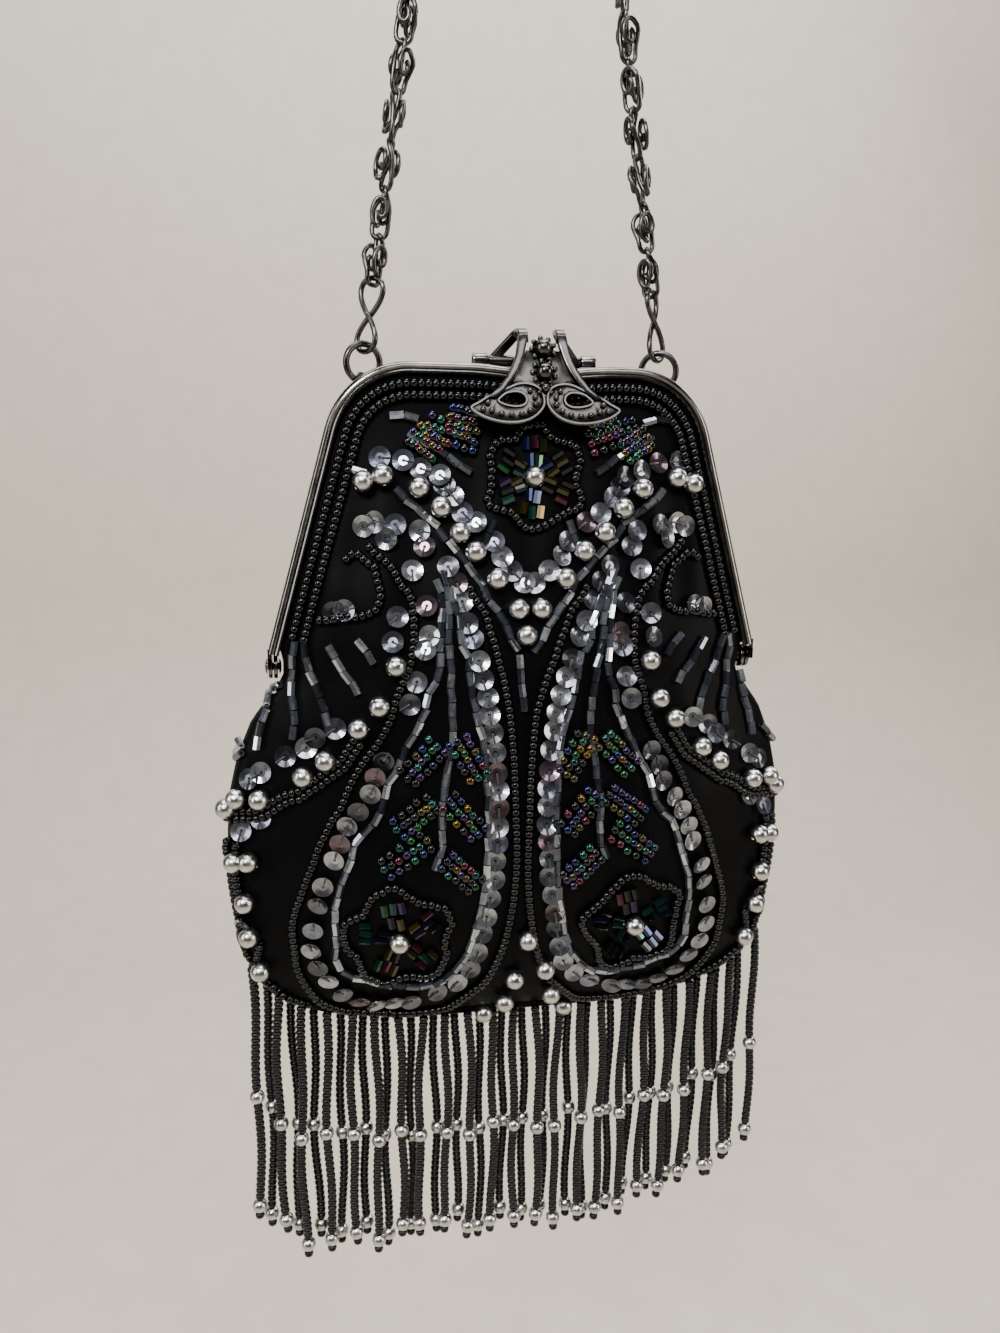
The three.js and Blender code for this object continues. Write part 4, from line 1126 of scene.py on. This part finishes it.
def lever_face():
    """Both arms and feet, the web between them and the flowers, in the drawing's place."""
    half = [
        outline_plate(FOOT_OUTLINE, 0, FOOT_THICK, 0.1, EYE_OUTLINE),
        outline_plate(ARM_OUTLINE, 0, ARM_THICK, 0.3),
        edge_wire(FOOT_OUTLINE, EDGE_HEIGHT, 0.36),
        edge_wire(EYE_OUTLINE, EDGE_HEIGHT, 0.34),
    ]
    half += [ball_bm(KNOB_RADIUS, (x, y, 1.0), 12, 8) for x, y in KNOBS]
    parts = [mirrored_bm(joined([mesh_of(bm) for bm in half]))]
    parts.append(outline_plate(WEB_HALF + [(-x, y) for x, y in reversed(WEB_HALF)], 0, FOOT_THICK, 0.1))
    for height, size, petals, petal in LEVER_FLOWERS:
        parts.append(ball_bm(size, (0, height, 1.5), 20, 12))
        reach = size + PETAL_REACH
        around = [math.pi / 8 * k for k in range(16)]
        rim = [(reach * math.cos(a), height + reach * math.sin(a)) for a in around]
        parts.append(outline_plate(rim, 0.05, 0.7, 0.1))
        for i in range(petals):
            angle = 2 * math.pi * (i + 0.5) / petals
            spot = (reach * math.cos(angle), height + reach * math.sin(angle), 0.95)
            parts.append(ball_bm(petal, spot, 10, 6, 0.8))
    return parts


def strap_bm(points):
    """Flat bent bar through points in the purse's own millimetres, its edges softened."""
    path = smooth_path(points, 6)
    rings = []
    for i, point in enumerate(path):
        ahead = (path[min(i + 1, len(path) - 1)] - path[max(i - 1, 0)]).normalized()
        across = (Vector((1, 0, 0)) - ahead * ahead.x).normalized() * STRAP_WIDTH / 2
        out = across.normalized().cross(ahead) * STRAP_THICK / 2
        rings.append([place(point + a * across + b * out) for a, b in STRAP_SECTION])
    return lofted(rings)


class PURSE_OT_clasp(bpy.types.Operator):
    """Builds the lift clasp's lever"""

    bl_idname = "purse.clasp"
    bl_label = "Lift clasp"

    def execute(self, context):
        face = mesh_of(joined([mesh_of(bm) for bm in lever_face()]))
        parts = [joined([face], [lever_matrix()])]
        top_y = -LEVER_BACK + ARM_TOP * math.sin(LEVER_TILT) - 0.6
        top_z = ARM_TOP * math.cos(LEVER_TILT)
        for hand in (-1, 1):
            x = CLASP_SHIFT + hand * 4.05
            leg = CLASP_SHIFT + hand * 8.95
            parts.append(strap_bm([
                (x - hand * 0.1, top_y - 0.15, top_z - 1.2), (x, top_y + 0.1, top_z + 0.5),
                (x, top_y + 1.5, STRAP_TOP), (x + hand * 0.3, 0.6, STRAP_TOP),
                (x + hand * 1.8, 2.0, 7.6), (leg, HINGE[0], HINGE[1] + 0.4),
            ]))
        for (radius, length), sides in ((BARREL, 20), (PIN, 14)):
            parts.append(disc_bm(radius, length, (CLASP_SHIFT, *HINGE), 0, (1, 0, 0), sides))
        # The lever takes the darker copy of the plate, painted shade for a face turned to the lights
        metal_piece(parts, "lever_cast", "shaded_nickel_casting", "clasp", ["clasp_lever"], 40)
        return {"FINISHED"}


# Rings, connectors and chain

RING_RADIUS = 3.88
RING_WIRE = 0.72
RING_TURN = math.radians(-22)
EIGHT_WIRE = 0.6
EIGHT_SPAN = 16.3 - 2 * EIGHT_WIRE
EIGHT_HALF_WIDTH = 2.85
EIGHT_TURN = math.radians(46)
CHAIN_LINKS = 36
LINK_WIRE = 0.45
LINK_HALF = Vector((4.1 / 2 - LINK_WIRE, 3.9 / 2 - LINK_WIRE, 10.9 / 2 - LINK_WIRE))
LINK_BITE = 0.55
LINK_TURN = math.radians(45)
FIRST_LINK_TURN = math.radians(-36)
PITCH = 2 * LINK_HALF.z - LINK_BITE
HOOK_RADIUS = 6.0
CHAIN_BEND = HOOK_RADIUS + 3.9 / 2
RING_UP = RING_RADIUS
EIGHT_UP = 2 * RING_RADIUS - (RING_WIRE + EIGHT_WIRE + 0.3)
JOINT_UP = EIGHT_UP + EIGHT_SPAN - (EIGHT_WIRE + LINK_WIRE + 0.3) + LINK_BITE / 2

# The wire between the two scrolls, as shares of the link's half width, half depth and half length
LINK_ROUTE = [
    (-0.15, -0.7, -0.55), (-0.05, 0.1, -0.05), (0.0, 0.45, 0.7), (0.0, 0.42, 0.9), (0.0, 0.0, 1.0),
    (0.12, -0.42, 0.88), (0.5, -0.42, 0.62), (0.9, -0.1, 0.2), (1.0, 0.1, -0.5), (0.92, 0.1, -0.84),
    (0.5, 0.1, -1.0), (0.0, 0.1, -1.02), (-0.55, 0.1, -1.0), (-0.95, 0.12, -0.82), (-1.02, 0.3, -0.45),
]
SCROLL_TURNS = 1.15
SCROLL_SIZE = (1.25, 1.1, 0.68)
SCROLL_CORE = 0.22


def scroll(start, way, depth):
    """Flat spiral from its rim inwards: rim angle, sense of turning and side of the link."""
    steps = 15
    points = []
    for i in range(steps + 1):
        angle = start + way * 2 * math.pi * SCROLL_TURNS * i / steps
        size = 1 + (SCROLL_CORE - 1) * i / steps
        points.append((SCROLL_SIZE[0] * size * math.cos(angle), depth * SCROLL_SIZE[1],
                       SCROLL_SIZE[2] * size * math.sin(angle)))
    return points


def strand_point(distance, lean):
    """Place on the right strand at a distance from the chain's top: round the hook, then straight down."""
    turn = math.pi / 2 - lean
    angle = min(distance / CHAIN_BEND, turn)
    rest = max(distance - turn * CHAIN_BEND, 0)
    return Vector((CHAIN_BEND * math.sin(angle) + rest * math.sin(lean), 0,
                   CHAIN_BEND * math.cos(angle) - HOOK_RADIUS - rest * math.cos(lean)))


def strand_joints(lean):
    """Places of the joints between links down the right strand, each a link's pitch from the last."""
    joints = [strand_point(0, lean)]
    distance = 0.0
    for _ in range(CHAIN_LINKS // 2):
        low, high = distance, distance + 2 * PITCH
        for _ in range(40):
            middle = (low + high) / 2
            if (strand_point(middle, lean) - joints[-1]).length < PITCH:
                low = middle
            else:
                high = middle
        distance = high
        joints.append(strand_point(distance, lean))
    return joints


def hanging_lean():
    """Lean of the strands with which the chain meets both connectors."""
    low, high = 0.02, 0.6
    for _ in range(50):
        lean = (low + high) / 2
        if strand_joints(lean)[-1].x < LUG[0] - JOINT_UP * math.sin(lean):
            low = lean
        else:
            high = lean
    return (low + high) / 2


def pull_matrix(up, turn, hand, lean):
    """Place of a piece made about the origin, its length along Z, on one side's pull line."""
    x = hand * (LUG[0] - up * math.sin(lean))
    z = LUG[2] + up * math.cos(lean)
    return (Matrix.Translation(place((x, LUG[1], z))) @ Matrix.Rotation(-hand * lean, 4, "Y")
            @ Matrix.Rotation(hand * turn, 4, "Z") @ Matrix.Scale(MM, 4))


def eight_points():
    """A figure eight on its side's plane, its strands passing each other where they cross."""
    points = []
    steps = 40
    for way in (1, -1):
        for i in range(steps):
            angle = 2 * math.pi * i / steps
            x = way * 1.3 * EIGHT_HALF_WIDTH * math.sin(angle) * math.sin(angle / 2)
            cross = 0.45 * math.cos(angle / 2)
            points.append(Vector((x, cross, way * EIGHT_SPAN / 4 * (1 - math.cos(angle)))))
    return points


class PURSE_OT_rings(bpy.types.Operator):
    """Builds the jump rings and the figure-eight connectors"""

    bl_idname = "purse.rings"
    bl_label = "Rings and connectors"

    def execute(self, context):
        lean = hanging_lean()
        ring = [Vector((RING_RADIUS * math.sin(a), 0, RING_RADIUS * math.cos(a)))
                for a in (2 * math.pi * (i + 0.5) / 48 for i in range(48))]
        middle = EIGHT_UP + EIGHT_SPAN / 2
        kinds = (
            ("round_ring", "jump_ring", ring, RING_WIRE, RING_UP, RING_TURN),
            ("figure_eight", "connector", eight_points(), EIGHT_WIRE, middle, EIGHT_TURN),
        )
        for hand, word in ((-1, "left"), (1, "right")):
            for name, node, points, wire, up, turn in kinds:
                matrix = pull_matrix(up, turn, hand, lean)
                mesh = mesh_of(joined([wire_mesh(points, wire, True, 3)], [matrix]))
                stands_for = [f"{node}_{word}"]
                piece_from(mesh, f"{name}_{word}", "dark_nickel_wire", "purse", stands_for)
        return {"FINISHED"}


class PURSE_OT_chain(bpy.types.Operator):
    """Builds the chain of scroll links"""

    bl_idname = "purse.chain"
    bl_label = "Scroll-link chain"

    def execute(self, context):
        right = strand_joints(hanging_lean())
        left = [Vector((-p.x, p.y, p.z)) for p in reversed(right[1:])]
        joints = left + right
        wire = scroll(1.36 * math.pi, -1, -1)[::-1] + LINK_ROUTE + scroll(0.95 * math.pi, -1, 1)
        route = [Vector((a * LINK_HALF.x, d * LINK_HALF.y, u * LINK_HALF.z)) for a, d, u in wire]
        link = bmesh.new()
        link.from_mesh(wire_mesh(smooth_path(route, 2), LINK_WIRE * 1.2, False, 1))
        places = []
        for i in range(len(joints) - 1):
            climbing = i < CHAIN_LINKS // 2
            low, high = (joints[i], joints[i + 1]) if climbing else (joints[i + 1], joints[i])
            up = (high - low).normalized()
            order = i if climbing else CHAIN_LINKS - 1 - i
            turn = FIRST_LINK_TURN + order * LINK_TURN
            middle = (low + high) / 2 * MM
            places.append(Matrix.Translation(middle) @ Matrix.Rotation(math.atan2(up.x, up.z), 4, "Y")
                          @ Matrix.Rotation(-turn if climbing else turn, 4, "Z") @ Matrix.Scale(MM, 4))
        beads_at("scroll_links", link, places, "dark_nickel_wire", replaced=["chain"])
        return {"FINISHED"}


# Beading


SEED_HOLE = 0.7 * MM
# Rows sit this far inside the rim, and the rope's second row this far beside the first
RIM_ROWS = (2.0, 4.4)
ROPE_SPACE = 1.7


def seed_places(paths, lift=0.62):
    """Places of seed beads along paths on the panel."""
    sizes = bpy.context.scene.purse_sizes
    pitch = sizes.seed_length / MM * 1.04
    raised = sizes.seed_width / MM / 2 * lift
    return [standing(place(point + normal * raised), along, normal)
            for path in paths for point, normal, along in spaced(path, pitch)]


def rim_row(inset):
    """Row of places inside the rim, from the left hinge to the right one."""
    return [(x - ox * inset, z - oz * inset) for x, z, ox, oz in rim_stations(8, 10, 4.0)]


def beside(spots, offset):
    """Path beside another one on the panel."""
    out = []
    for i, (x, z) in enumerate(spots):
        ax, az = spots[max(i - 1, 0)]
        bx, bz = spots[min(i + 1, len(spots) - 1)]
        length = math.hypot(bx - ax, bz - az) or 1.0
        out.append((x - (bz - az) / length * offset, z + (bx - ax) / length * offset))
    return out


def sew_seeds(name, paths):
    """A piece of black seed beads along paths on the panel."""
    sizes = bpy.context.scene.purse_sizes
    seed = ring_bead(sizes.seed_width, sizes.seed_length, SEED_HOLE, 10)
    return beads_at(name, seed, seed_places(paths), "jet_seed_glass")


class PURSE_OT_seeds(bpy.types.Operator):
    """Sews the rows of black seed beads"""

    bl_idname = "purse.seeds"
    bl_label = "Seed-bead rows"

    def execute(self, context):
        sew_seeds("seed_rows_rim", [rim_row(inset) for inset in RIM_ROWS])
        sew_seeds("seed_rows_paisley", both(from_photo(PAISLEY_SEEDS)))
        rope = from_photo(ROPE_SEEDS)
        lobes = both(from_photo(LOBE_SEEDS)) + both(rope) + both(beside(rope, ROPE_SPACE))
        lobes += [side for run in EDGE_SEEDS for side in both(from_photo(run))]
        sew_seeds("seed_rows_lobes", lobes)
        return {"FINISHED"}


# A stitch's radius
STITCH = 0.2 * MM


class PURSE_OT_sequins(bpy.types.Operator):
    """Sews the cup sequins with their threads"""

    bl_idname = "purse.sequins"
    bl_label = "Cup sequins"

    def execute(self, context):
        chance = random.Random(11)
        sizes = context.scene.purse_sizes
        places, tints, threads = [], [], []
        for run in (SEQUIN_ARC, SEQUIN_SIDE, SEQUIN_PAISLEY):
            spots = from_photo(run)
            for side in both(spots):
                for i, (x, z) in enumerate(side):
                    point, normal = PouchFront.at(x, z)
                    ahead = side[min(i + 1, len(side) - 1)]
                    back = side[max(i - 1, 0)]
                    way = Vector((ahead[0] - back[0], 0, ahead[1] - back[1])).normalized()
                    nudge = Vector((chance.uniform(-0.15, 0.15), 0, chance.uniform(-0.15, 0.15)))
                    lean = nudge - way * 0.22
                    lift = 0.45 + 0.35 * (i % 2)
                    matrix = facing(place(point + normal * lift), normal, chance.uniform(0, 6.28), lean)
                    places.append(matrix)
                    tints.append(chance.choice(SEQUIN_TINTS))
                    tilt = (normal + lean).normalized()
                    start = place(point + normal * lift) + tilt * STITCH
                    out = (way - tilt * way.dot(tilt)).normalized()
                    end = start + out * sizes.sequin_width * 0.52 + tilt * 0.45 * MM
                    threads.append((start, end, tilt))
        cup = cup_sequin(sizes.sequin_width, 20)
        beads_at("cup_sequins", cup, places, "coated_sequin_film", tints, False)
        stitch = bmesh.new()
        bmesh.ops.create_cone(stitch, cap_ends=True, segments=5, radius1=STITCH, radius2=STITCH, depth=1.0)
        marks = []
        for a, b, up in threads:
            marks.append(standing((a + b) / 2, b - a, up) @ Matrix.Diagonal((1, 1, (b - a).length, 1)))
        beads_at("sequin_threads", stitch, marks, "black_sewing_thread")
        return {"FINISHED"}


class PURSE_OT_bugles(bpy.types.Operator):
    """Sews the rows of bugle beads"""

    bl_idname = "purse.bugles"
    bl_label = "Bugle-bead rows"

    def execute(self, context):
        chance = random.Random(5)
        sizes = context.scene.purse_sizes
        pitch = sizes.bugle_length / MM * 1.06
        places = []
        for run in [VEE_BUGLES] + STEMS + FANS + DARK_BUGLES:
            for side in both(from_photo(run)):
                for point, normal, along in spaced(side, pitch):
                    lift = normal * sizes.bugle_width / MM * 0.42
                    nudge = Vector((chance.uniform(-0.12, 0.12), 0, chance.uniform(-0.12, 0.12)))
                    places.append(standing(place(point + lift), along + nudge, normal)
                                  @ Matrix.Rotation(chance.uniform(0, 1.0), 4, "Z"))
        for point, normal, along in spaced(from_photo(VEE_TAIL), pitch):
            places.append(standing(place(point + normal * 0.7), along, normal))
        tints = [chance.choice(STEEL_TINTS) for _ in places]
        tube = cut_tube(sizes.bugle_width, sizes.bugle_length, 6)
        beads_at("bugle_rows", tube, places, "hematite_bugle_glass", tints, False)
        return {"FINISHED"}


SILVER_HOLE = 0.8 * MM


class PURSE_OT_silver(bpy.types.Operator):
    """Sews the silver beads"""

    bl_idname = "purse.silver"
    bl_label = "Silver beads"

    def execute(self, context):
        chance = random.Random(3)
        width = context.scene.purse_sizes.silver_width
        spots = [s for side in both(from_photo(SILVER_BEADS)) for s in side]
        spots += from_photo(MIDDLE_SILVER + [TOP_FLOWER])
        spots += [s for side in both(from_photo([PAISLEY_FLOWER])) for s in side]
        places = []
        for x, z in spots:
            point, normal = PouchFront.at(x, z)
            angle = chance.uniform(0, math.pi)
            along = Vector((math.cos(angle), 0.35, math.sin(angle)))
            places.append(standing(place(point + normal * width / MM * 0.46), along, normal))
        beads_at("silver_beads", ball_bead(width, SILVER_HOLE, 16, 9), places, "brushed_silver_bead")
        return {"FINISHED"}


# Seed ring round a flower, as a share of its reach; bugles of a petal: share of the reach, places across it
RING_SHARE = 1.12
PETAL_BUGLES = ((0.4, (-0.5, 0.5)), (0.76, (-1.0, 0.0, 1.0)))


def leaf_seeds(start, end, rows=(5, 7, 6)):
    """Seed beads in three short rows between two places on the panel."""
    a, b = Vector((start[0], 0, start[1])), Vector((end[0], 0, end[1]))
    along = (b - a).normalized()
    across = Vector((-along.z, 0, along.x))
    out = []
    for k, count in enumerate(rows):
        for i in range(count):
            share = (i + 0.5) / count
            spot = a.lerp(b, share) + across * (k - 1) * 2.0
            out.append((spot.x, spot.z))
    return out


def flower_bugles(centre, petals, reach, chance):
    """Places of bugles side by side in petals round a centre: (x, z, angle)."""
    width = bpy.context.scene.purse_sizes.bugle_width / MM * 1.08
    out = []
    for petal in range(petals):
        angle = 2 * math.pi * petal / petals + 0.5 + chance.uniform(-0.12, 0.12)
        ahead = Vector((math.cos(angle), math.sin(angle)))
        aside = Vector((-ahead.y, ahead.x))
        for share, row in PETAL_BUGLES:
            for step in row:
                out_by = reach * (share + chance.uniform(-0.06, 0.06))
                spot = Vector(centre) + ahead * out_by + aside * step * width
                out.append((spot.x, spot.y, angle + chance.uniform(-0.12, 0.12)))
    return out


class PURSE_OT_iridescent(bpy.types.Operator):
    """Sews the iridescent leaves and flowers"""

    bl_idname = "purse.iridescent"
    bl_label = "Iridescent leaves and flowers"

    def execute(self, context):
        chance = random.Random(8)
        sizes = context.scene.purse_sizes
        seeds = []
        for start, end in LEAVES:
            ends = from_photo([start, end])
            for pair in both(ends):
                seeds += leaf_seeds(*pair)
        for start, end in TOP_CLUSTERS:
            for pair in both(from_photo([start, end])):
                seeds += leaf_seeds(*pair, rows=(7, 8, 6))
        places = []
        for x, z in seeds:
            point, normal = PouchFront.at(x + chance.uniform(-0.2, 0.2), z + chance.uniform(-0.2, 0.2))
            angle = chance.uniform(0, math.pi)
            along = Vector((math.cos(angle), 0, math.sin(angle)))
            places.append(standing(place(point + normal * 0.75), along, normal))
        tints = [chance.choice(OIL_TINTS) for _ in places]
        leaf_seed = ring_bead(sizes.seed_width * 1.05, sizes.seed_length * 1.2, SEED_HOLE, 10)
        beads_at("iridescent_leaves", leaf_seed, places, "iridescent_glass", tints)
        flowers = [(s[0], 5, 10.0) for s in both(from_photo([PAISLEY_FLOWER]))]
        flowers.append((from_photo([TOP_FLOWER])[0], 6, 9.0))
        places, rings = [], []
        for centre, petals, reach in flowers:
            for x, z, angle in flower_bugles(centre, petals, reach, chance):
                point, normal = PouchFront.at(x, z)
                along = Vector((math.cos(angle), 0, math.sin(angle)))
                places.append(standing(place(point + normal * 0.75), along, normal))
            ring = []
            for i in range(41):
                angle = 2 * math.pi * i / 40
                scallop = 1 + 0.1 * math.cos(petals * (angle - 0.5)) + chance.uniform(-0.05, 0.05)
                wave = reach * RING_SHARE * scallop
                ring.append((centre[0] + wave * math.cos(angle), centre[1] + wave * math.sin(angle)))
            rings.append(ring)
        tints = [chance.choice(OIL_TINTS) for _ in places]
        tube = cut_tube(sizes.bugle_width, sizes.bugle_length * 0.9, 6)
        beads_at("iridescent_petals", tube, places, "iridescent_glass", tints, False)
        sew_seeds("seed_rows_flowers", rings)
        return {"FINISHED"}


# The fringe


# Beyond this half width the pouch's lower edge turns up steeply, with this slope
EDGE_TURN = 58.0
EDGE_SLOPE = 2.0
HEADER_RADIUS = 1.0


def bottom_edge(tree, x):
    """Height of the pouch's lower edge at a place across it."""
    hit = tree.ray_cast(Vector((x, 0, -200)), Vector((0, 0, 1)))[0]
    if hit:
        return hit.z
    inside = math.copysign(min(abs(x), EDGE_TURN), x)
    hit = tree.ray_cast(Vector((inside, 0, -200)), Vector((0, 0, 1)))[0]
    if hit is None:
        raise RuntimeError("The pouch's lower edge wasn't found")
    return hit.z + (abs(x) - EDGE_TURN) * EDGE_SLOPE


def string_point(top, share, depth, drift, kink, bend, phase):
    """Place of a string at a depth below its top, wandering a little as hung beads do."""
    wander = drift * share + kink * math.sin(share * math.pi) + 0.35 * math.sin(share * 11 + phase)
    return top + Vector((wander, bend * share * share, -depth))


class PURSE_OT_fringe(bpy.types.Operator):
    """Strings the fringe and its header"""

    bl_idname = "purse.fringe"
    bl_label = "Bead fringe"

    def execute(self, context):
        chance = random.Random(21)
        sizes = context.scene.purse_sizes
        tree = solid_tree("pouch_shell")
        low, high = (v.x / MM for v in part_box("fringe"))
        half = min(-low, high) - 1.1
        seed, drop = sizes.seed_length / MM, sizes.drop_width / MM
        seeds, drops, header = [], [], []
        for i in range(sizes.strings):
            share = 2 * i / (sizes.strings - 1) - 1
            x = half * share
            edge = bottom_edge(tree, x)
            header.append((x, edge))
            top = Vector((x, -1.3 if i % 2 == 0 else 1.3, edge - 1.2))
            upper = sizes.upper_seeds + chance.choice((-1, 0, 0, 1)) - round(share)
            lower = sizes.lower_seeds + chance.choice((-1, 0, 0, 1)) - round(share)
            plan = [seed] * upper + [drop] + [seed] * lower + [drop] + [seed]
            kink = chance.uniform(-0.8, 0.8)
            drift = chance.uniform(-1.0, 0.6)
            bend = chance.uniform(-0.6, 0.6)
            total = sum(plan)
            gone = 0.0
            for size in plan:
                start, middle, end = (
                    string_point(top, depth / total, depth, drift, kink, bend, i)
                    for depth in (gone, gone + size / 2, gone + size))
                matrix = standing(place(middle), start - end, Vector((0, -1, 0)))
                (seeds if size == seed else drops).append(matrix)
                gone += size
        bead = ring_bead(sizes.seed_width * 1.06, sizes.seed_length, 0.6 * MM, 8)
        beads_at("fringe_seeds", bead, seeds, "jet_seed_glass", replaced=["fringe"])
        ball = ball_bead(sizes.drop_width, SILVER_HOLE, 12, 7)
        beads_at("fringe_drops", ball, drops, "brushed_silver_bead")
        cord = smooth_path([place((x, 0, z - 0.9)) for x, z in header], 2)
        mesh = wire_mesh(cord, HEADER_RADIUS * MM, False, 3)
        piece_from(mesh, "fringe_header", "black_woven_satin", "purse")
        return {"FINISHED"}


# The stage


LIT_MIDDLE = (0, 0, -0.25)
# Soft lights: name, place, aim and size in metres, watts, colour
LIGHTS = (
    ("soft_key", (-0.35, -0.7, 0.3), LIT_MIDDLE, (0.26, 0.22), 10.0, "#ffffff"),
    ("soft_front", (0.16, -0.62, 0.38), LIT_MIDDLE, (0.5, 0.2), 2.6, "#ffffff"),
    ("soft_fill", (0.9, -0.6, -0.1), LIT_MIDDLE, (0.2, 0.6), 5.0, "#fff6ea"),
    ("soft_top", (0.1, -0.1, 0.9), LIT_MIDDLE, (0.7, 0.5), 11.0, "#ffffff"),
    ("backdrop_wash", (0.1, 0.3, 0.9), (0, 0.95, -0.1), (1.4, 0.4), 24.0, "#ffffff"),
    ("soft_left", (-0.85, -0.3, 0.0), LIT_MIDDLE, (0.25, 0.7), 4.0, "#ffffff"),
    ("soft_rim", (0.9, 0.45, 0.35), LIT_MIDDLE, (0.4, 0.4), 5.0, "#ffffff"),
)
ROOM_COLOUR = "#bdbcba"
ROOM_LIGHT = 0.15
# The sweep of floor and wall, in metres
FLOOR_DROP = 0.25
SWEEP_NEAR = -2.4
SWEEP_START = 0.65
SWEEP_BEND = 0.3
SWEEP_TOP = 2.2
SWEEP_HALF = 2.5


def area_light(name, spot, aim, size, power, colour):
    """A soft rectangular light aimed at a place."""
    data = bpy.data.lights.new(name, "AREA")
    data.shape = "RECTANGLE"
    data.size, data.size_y = size
    data.energy = power
    data.color = to_linear(colour)
    light = bpy.data.objects.new(name, data)
    light.location = spot
    light.rotation_euler = (Vector(aim) - Vector(spot)).to_track_quat("-Z", "Y").to_euler()
    bpy.context.collection.objects.link(light)


class PURSE_OT_stage(bpy.types.Operator):
    """Sets the floor, backdrop, lights and camera"""

    bl_idname = "purse.stage"
    bl_label = "Stage"

    def execute(self, context):
        bm = bmesh.new()
        floor = CAD_BOX[0][2] - FLOOR_DROP
        path = [(SWEEP_NEAR, floor), (SWEEP_START, floor)]
        for k in range(1, 9):
            angle = math.pi / 16 * k
            back = SWEEP_START + SWEEP_BEND * math.sin(angle)
            path.append((back, floor + SWEEP_BEND * (1 - math.cos(angle))))
        path.append((SWEEP_START + SWEEP_BEND, SWEEP_TOP))
        row = [bm.verts.new((-SWEEP_HALF, y, z)) for y, z in path]
        edges = [bm.edges.new(pair) for pair in zip(row, row[1:])]
        grown = bmesh.ops.extrude_edge_only(bm, edges=edges)["geom"]
        far = [g for g in grown if isinstance(g, bmesh.types.BMVert)]
        bmesh.ops.translate(bm, vec=(2 * SWEEP_HALF, 0, 0), verts=far)
        bmesh.ops.recalc_face_normals(bm, faces=bm.faces)
        sweep = bpy.data.objects.new("backdrop", mesh_of(bm))
        sweep.data.materials.append(material_named("pale_painted_plaster"))
        for polygon in sweep.data.polygons:
            polygon.use_smooth = True
        context.collection.objects.link(sweep)
        for light in LIGHTS:
            area_light(*light)
        world = bpy.data.worlds.new("studio")
        world.use_nodes = True
        back = world.node_tree.nodes["Background"]
        back.inputs["Color"].default_value = (*to_linear(ROOM_COLOUR), 1)
        back.inputs["Strength"].default_value = ROOM_LIGHT
        context.scene.world = world
        data = bpy.data.cameras.new("view")
        data.sensor_width = SENSOR
        data.lens = SENSOR * VIEW_FOCAL / PHOTO_SIZE[1]
        data.clip_start = 0.01
        camera = bpy.data.objects.new("view", data)
        right, down, ahead = view_matrix()
        turn = Matrix((right, -down, -ahead)).transposed().to_4x4()
        camera.matrix_world = Matrix.Translation(place(VIEW_PLACE)) @ turn
        context.collection.objects.link(camera)
        context.scene.camera = camera
        return {"FINISHED"}


# Panel and registering


class PURSE_PT_build(bpy.types.Panel):
    """Lists the purse's sizes, colours and builders"""

    bl_label = "Beaded purse"
    bl_space_type = "VIEW_3D"
    bl_region_type = "UI"
    bl_category = "Purse"

    def draw(self, context):
        layout = self.layout
        for group in (context.scene.purse_sizes, context.scene.purse_colours):
            for key in group.bl_rna.properties.keys():
                if key not in ("rna_type", "name"):
                    layout.prop(group, key)
        for builder in BUILDERS:
            layout.operator(builder.bl_idname)


BUILDERS = (
    PURSE_OT_stage, PURSE_OT_pouch, PURSE_OT_frame, PURSE_OT_clasp, PURSE_OT_rings, PURSE_OT_chain,
    PURSE_OT_seeds, PURSE_OT_sequins, PURSE_OT_bugles, PURSE_OT_silver, PURSE_OT_iridescent,
    PURSE_OT_fringe,
)
CLASSES = (PurseSizes, PurseColours, *BUILDERS, PURSE_PT_build)


def register():
    """Makes the classes and the scene's values known to Blender."""
    for cls in CLASSES:
        bpy.utils.register_class(cls)
    bpy.types.Scene.purse_sizes = PointerProperty(type=PurseSizes)
    bpy.types.Scene.purse_colours = PointerProperty(type=PurseColours)


def unregister():
    """Takes them away again."""
    del bpy.types.Scene.purse_colours
    del bpy.types.Scene.purse_sizes
    for cls in reversed(CLASSES):
        bpy.utils.unregister_class(cls)


def main():
    """Builds everything in order."""
    register()
    bpy.ops.purse.stage()
    bpy.ops.purse.pouch()
    bpy.ops.purse.frame()
    bpy.ops.purse.clasp()
    bpy.ops.purse.rings()
    bpy.ops.purse.chain()
    bpy.ops.purse.seeds()
    bpy.ops.purse.sequins()
    bpy.ops.purse.bugles()
    bpy.ops.purse.silver()
    bpy.ops.purse.iridescent()
    bpy.ops.purse.fringe()


if __name__ == "__main__":
    main()
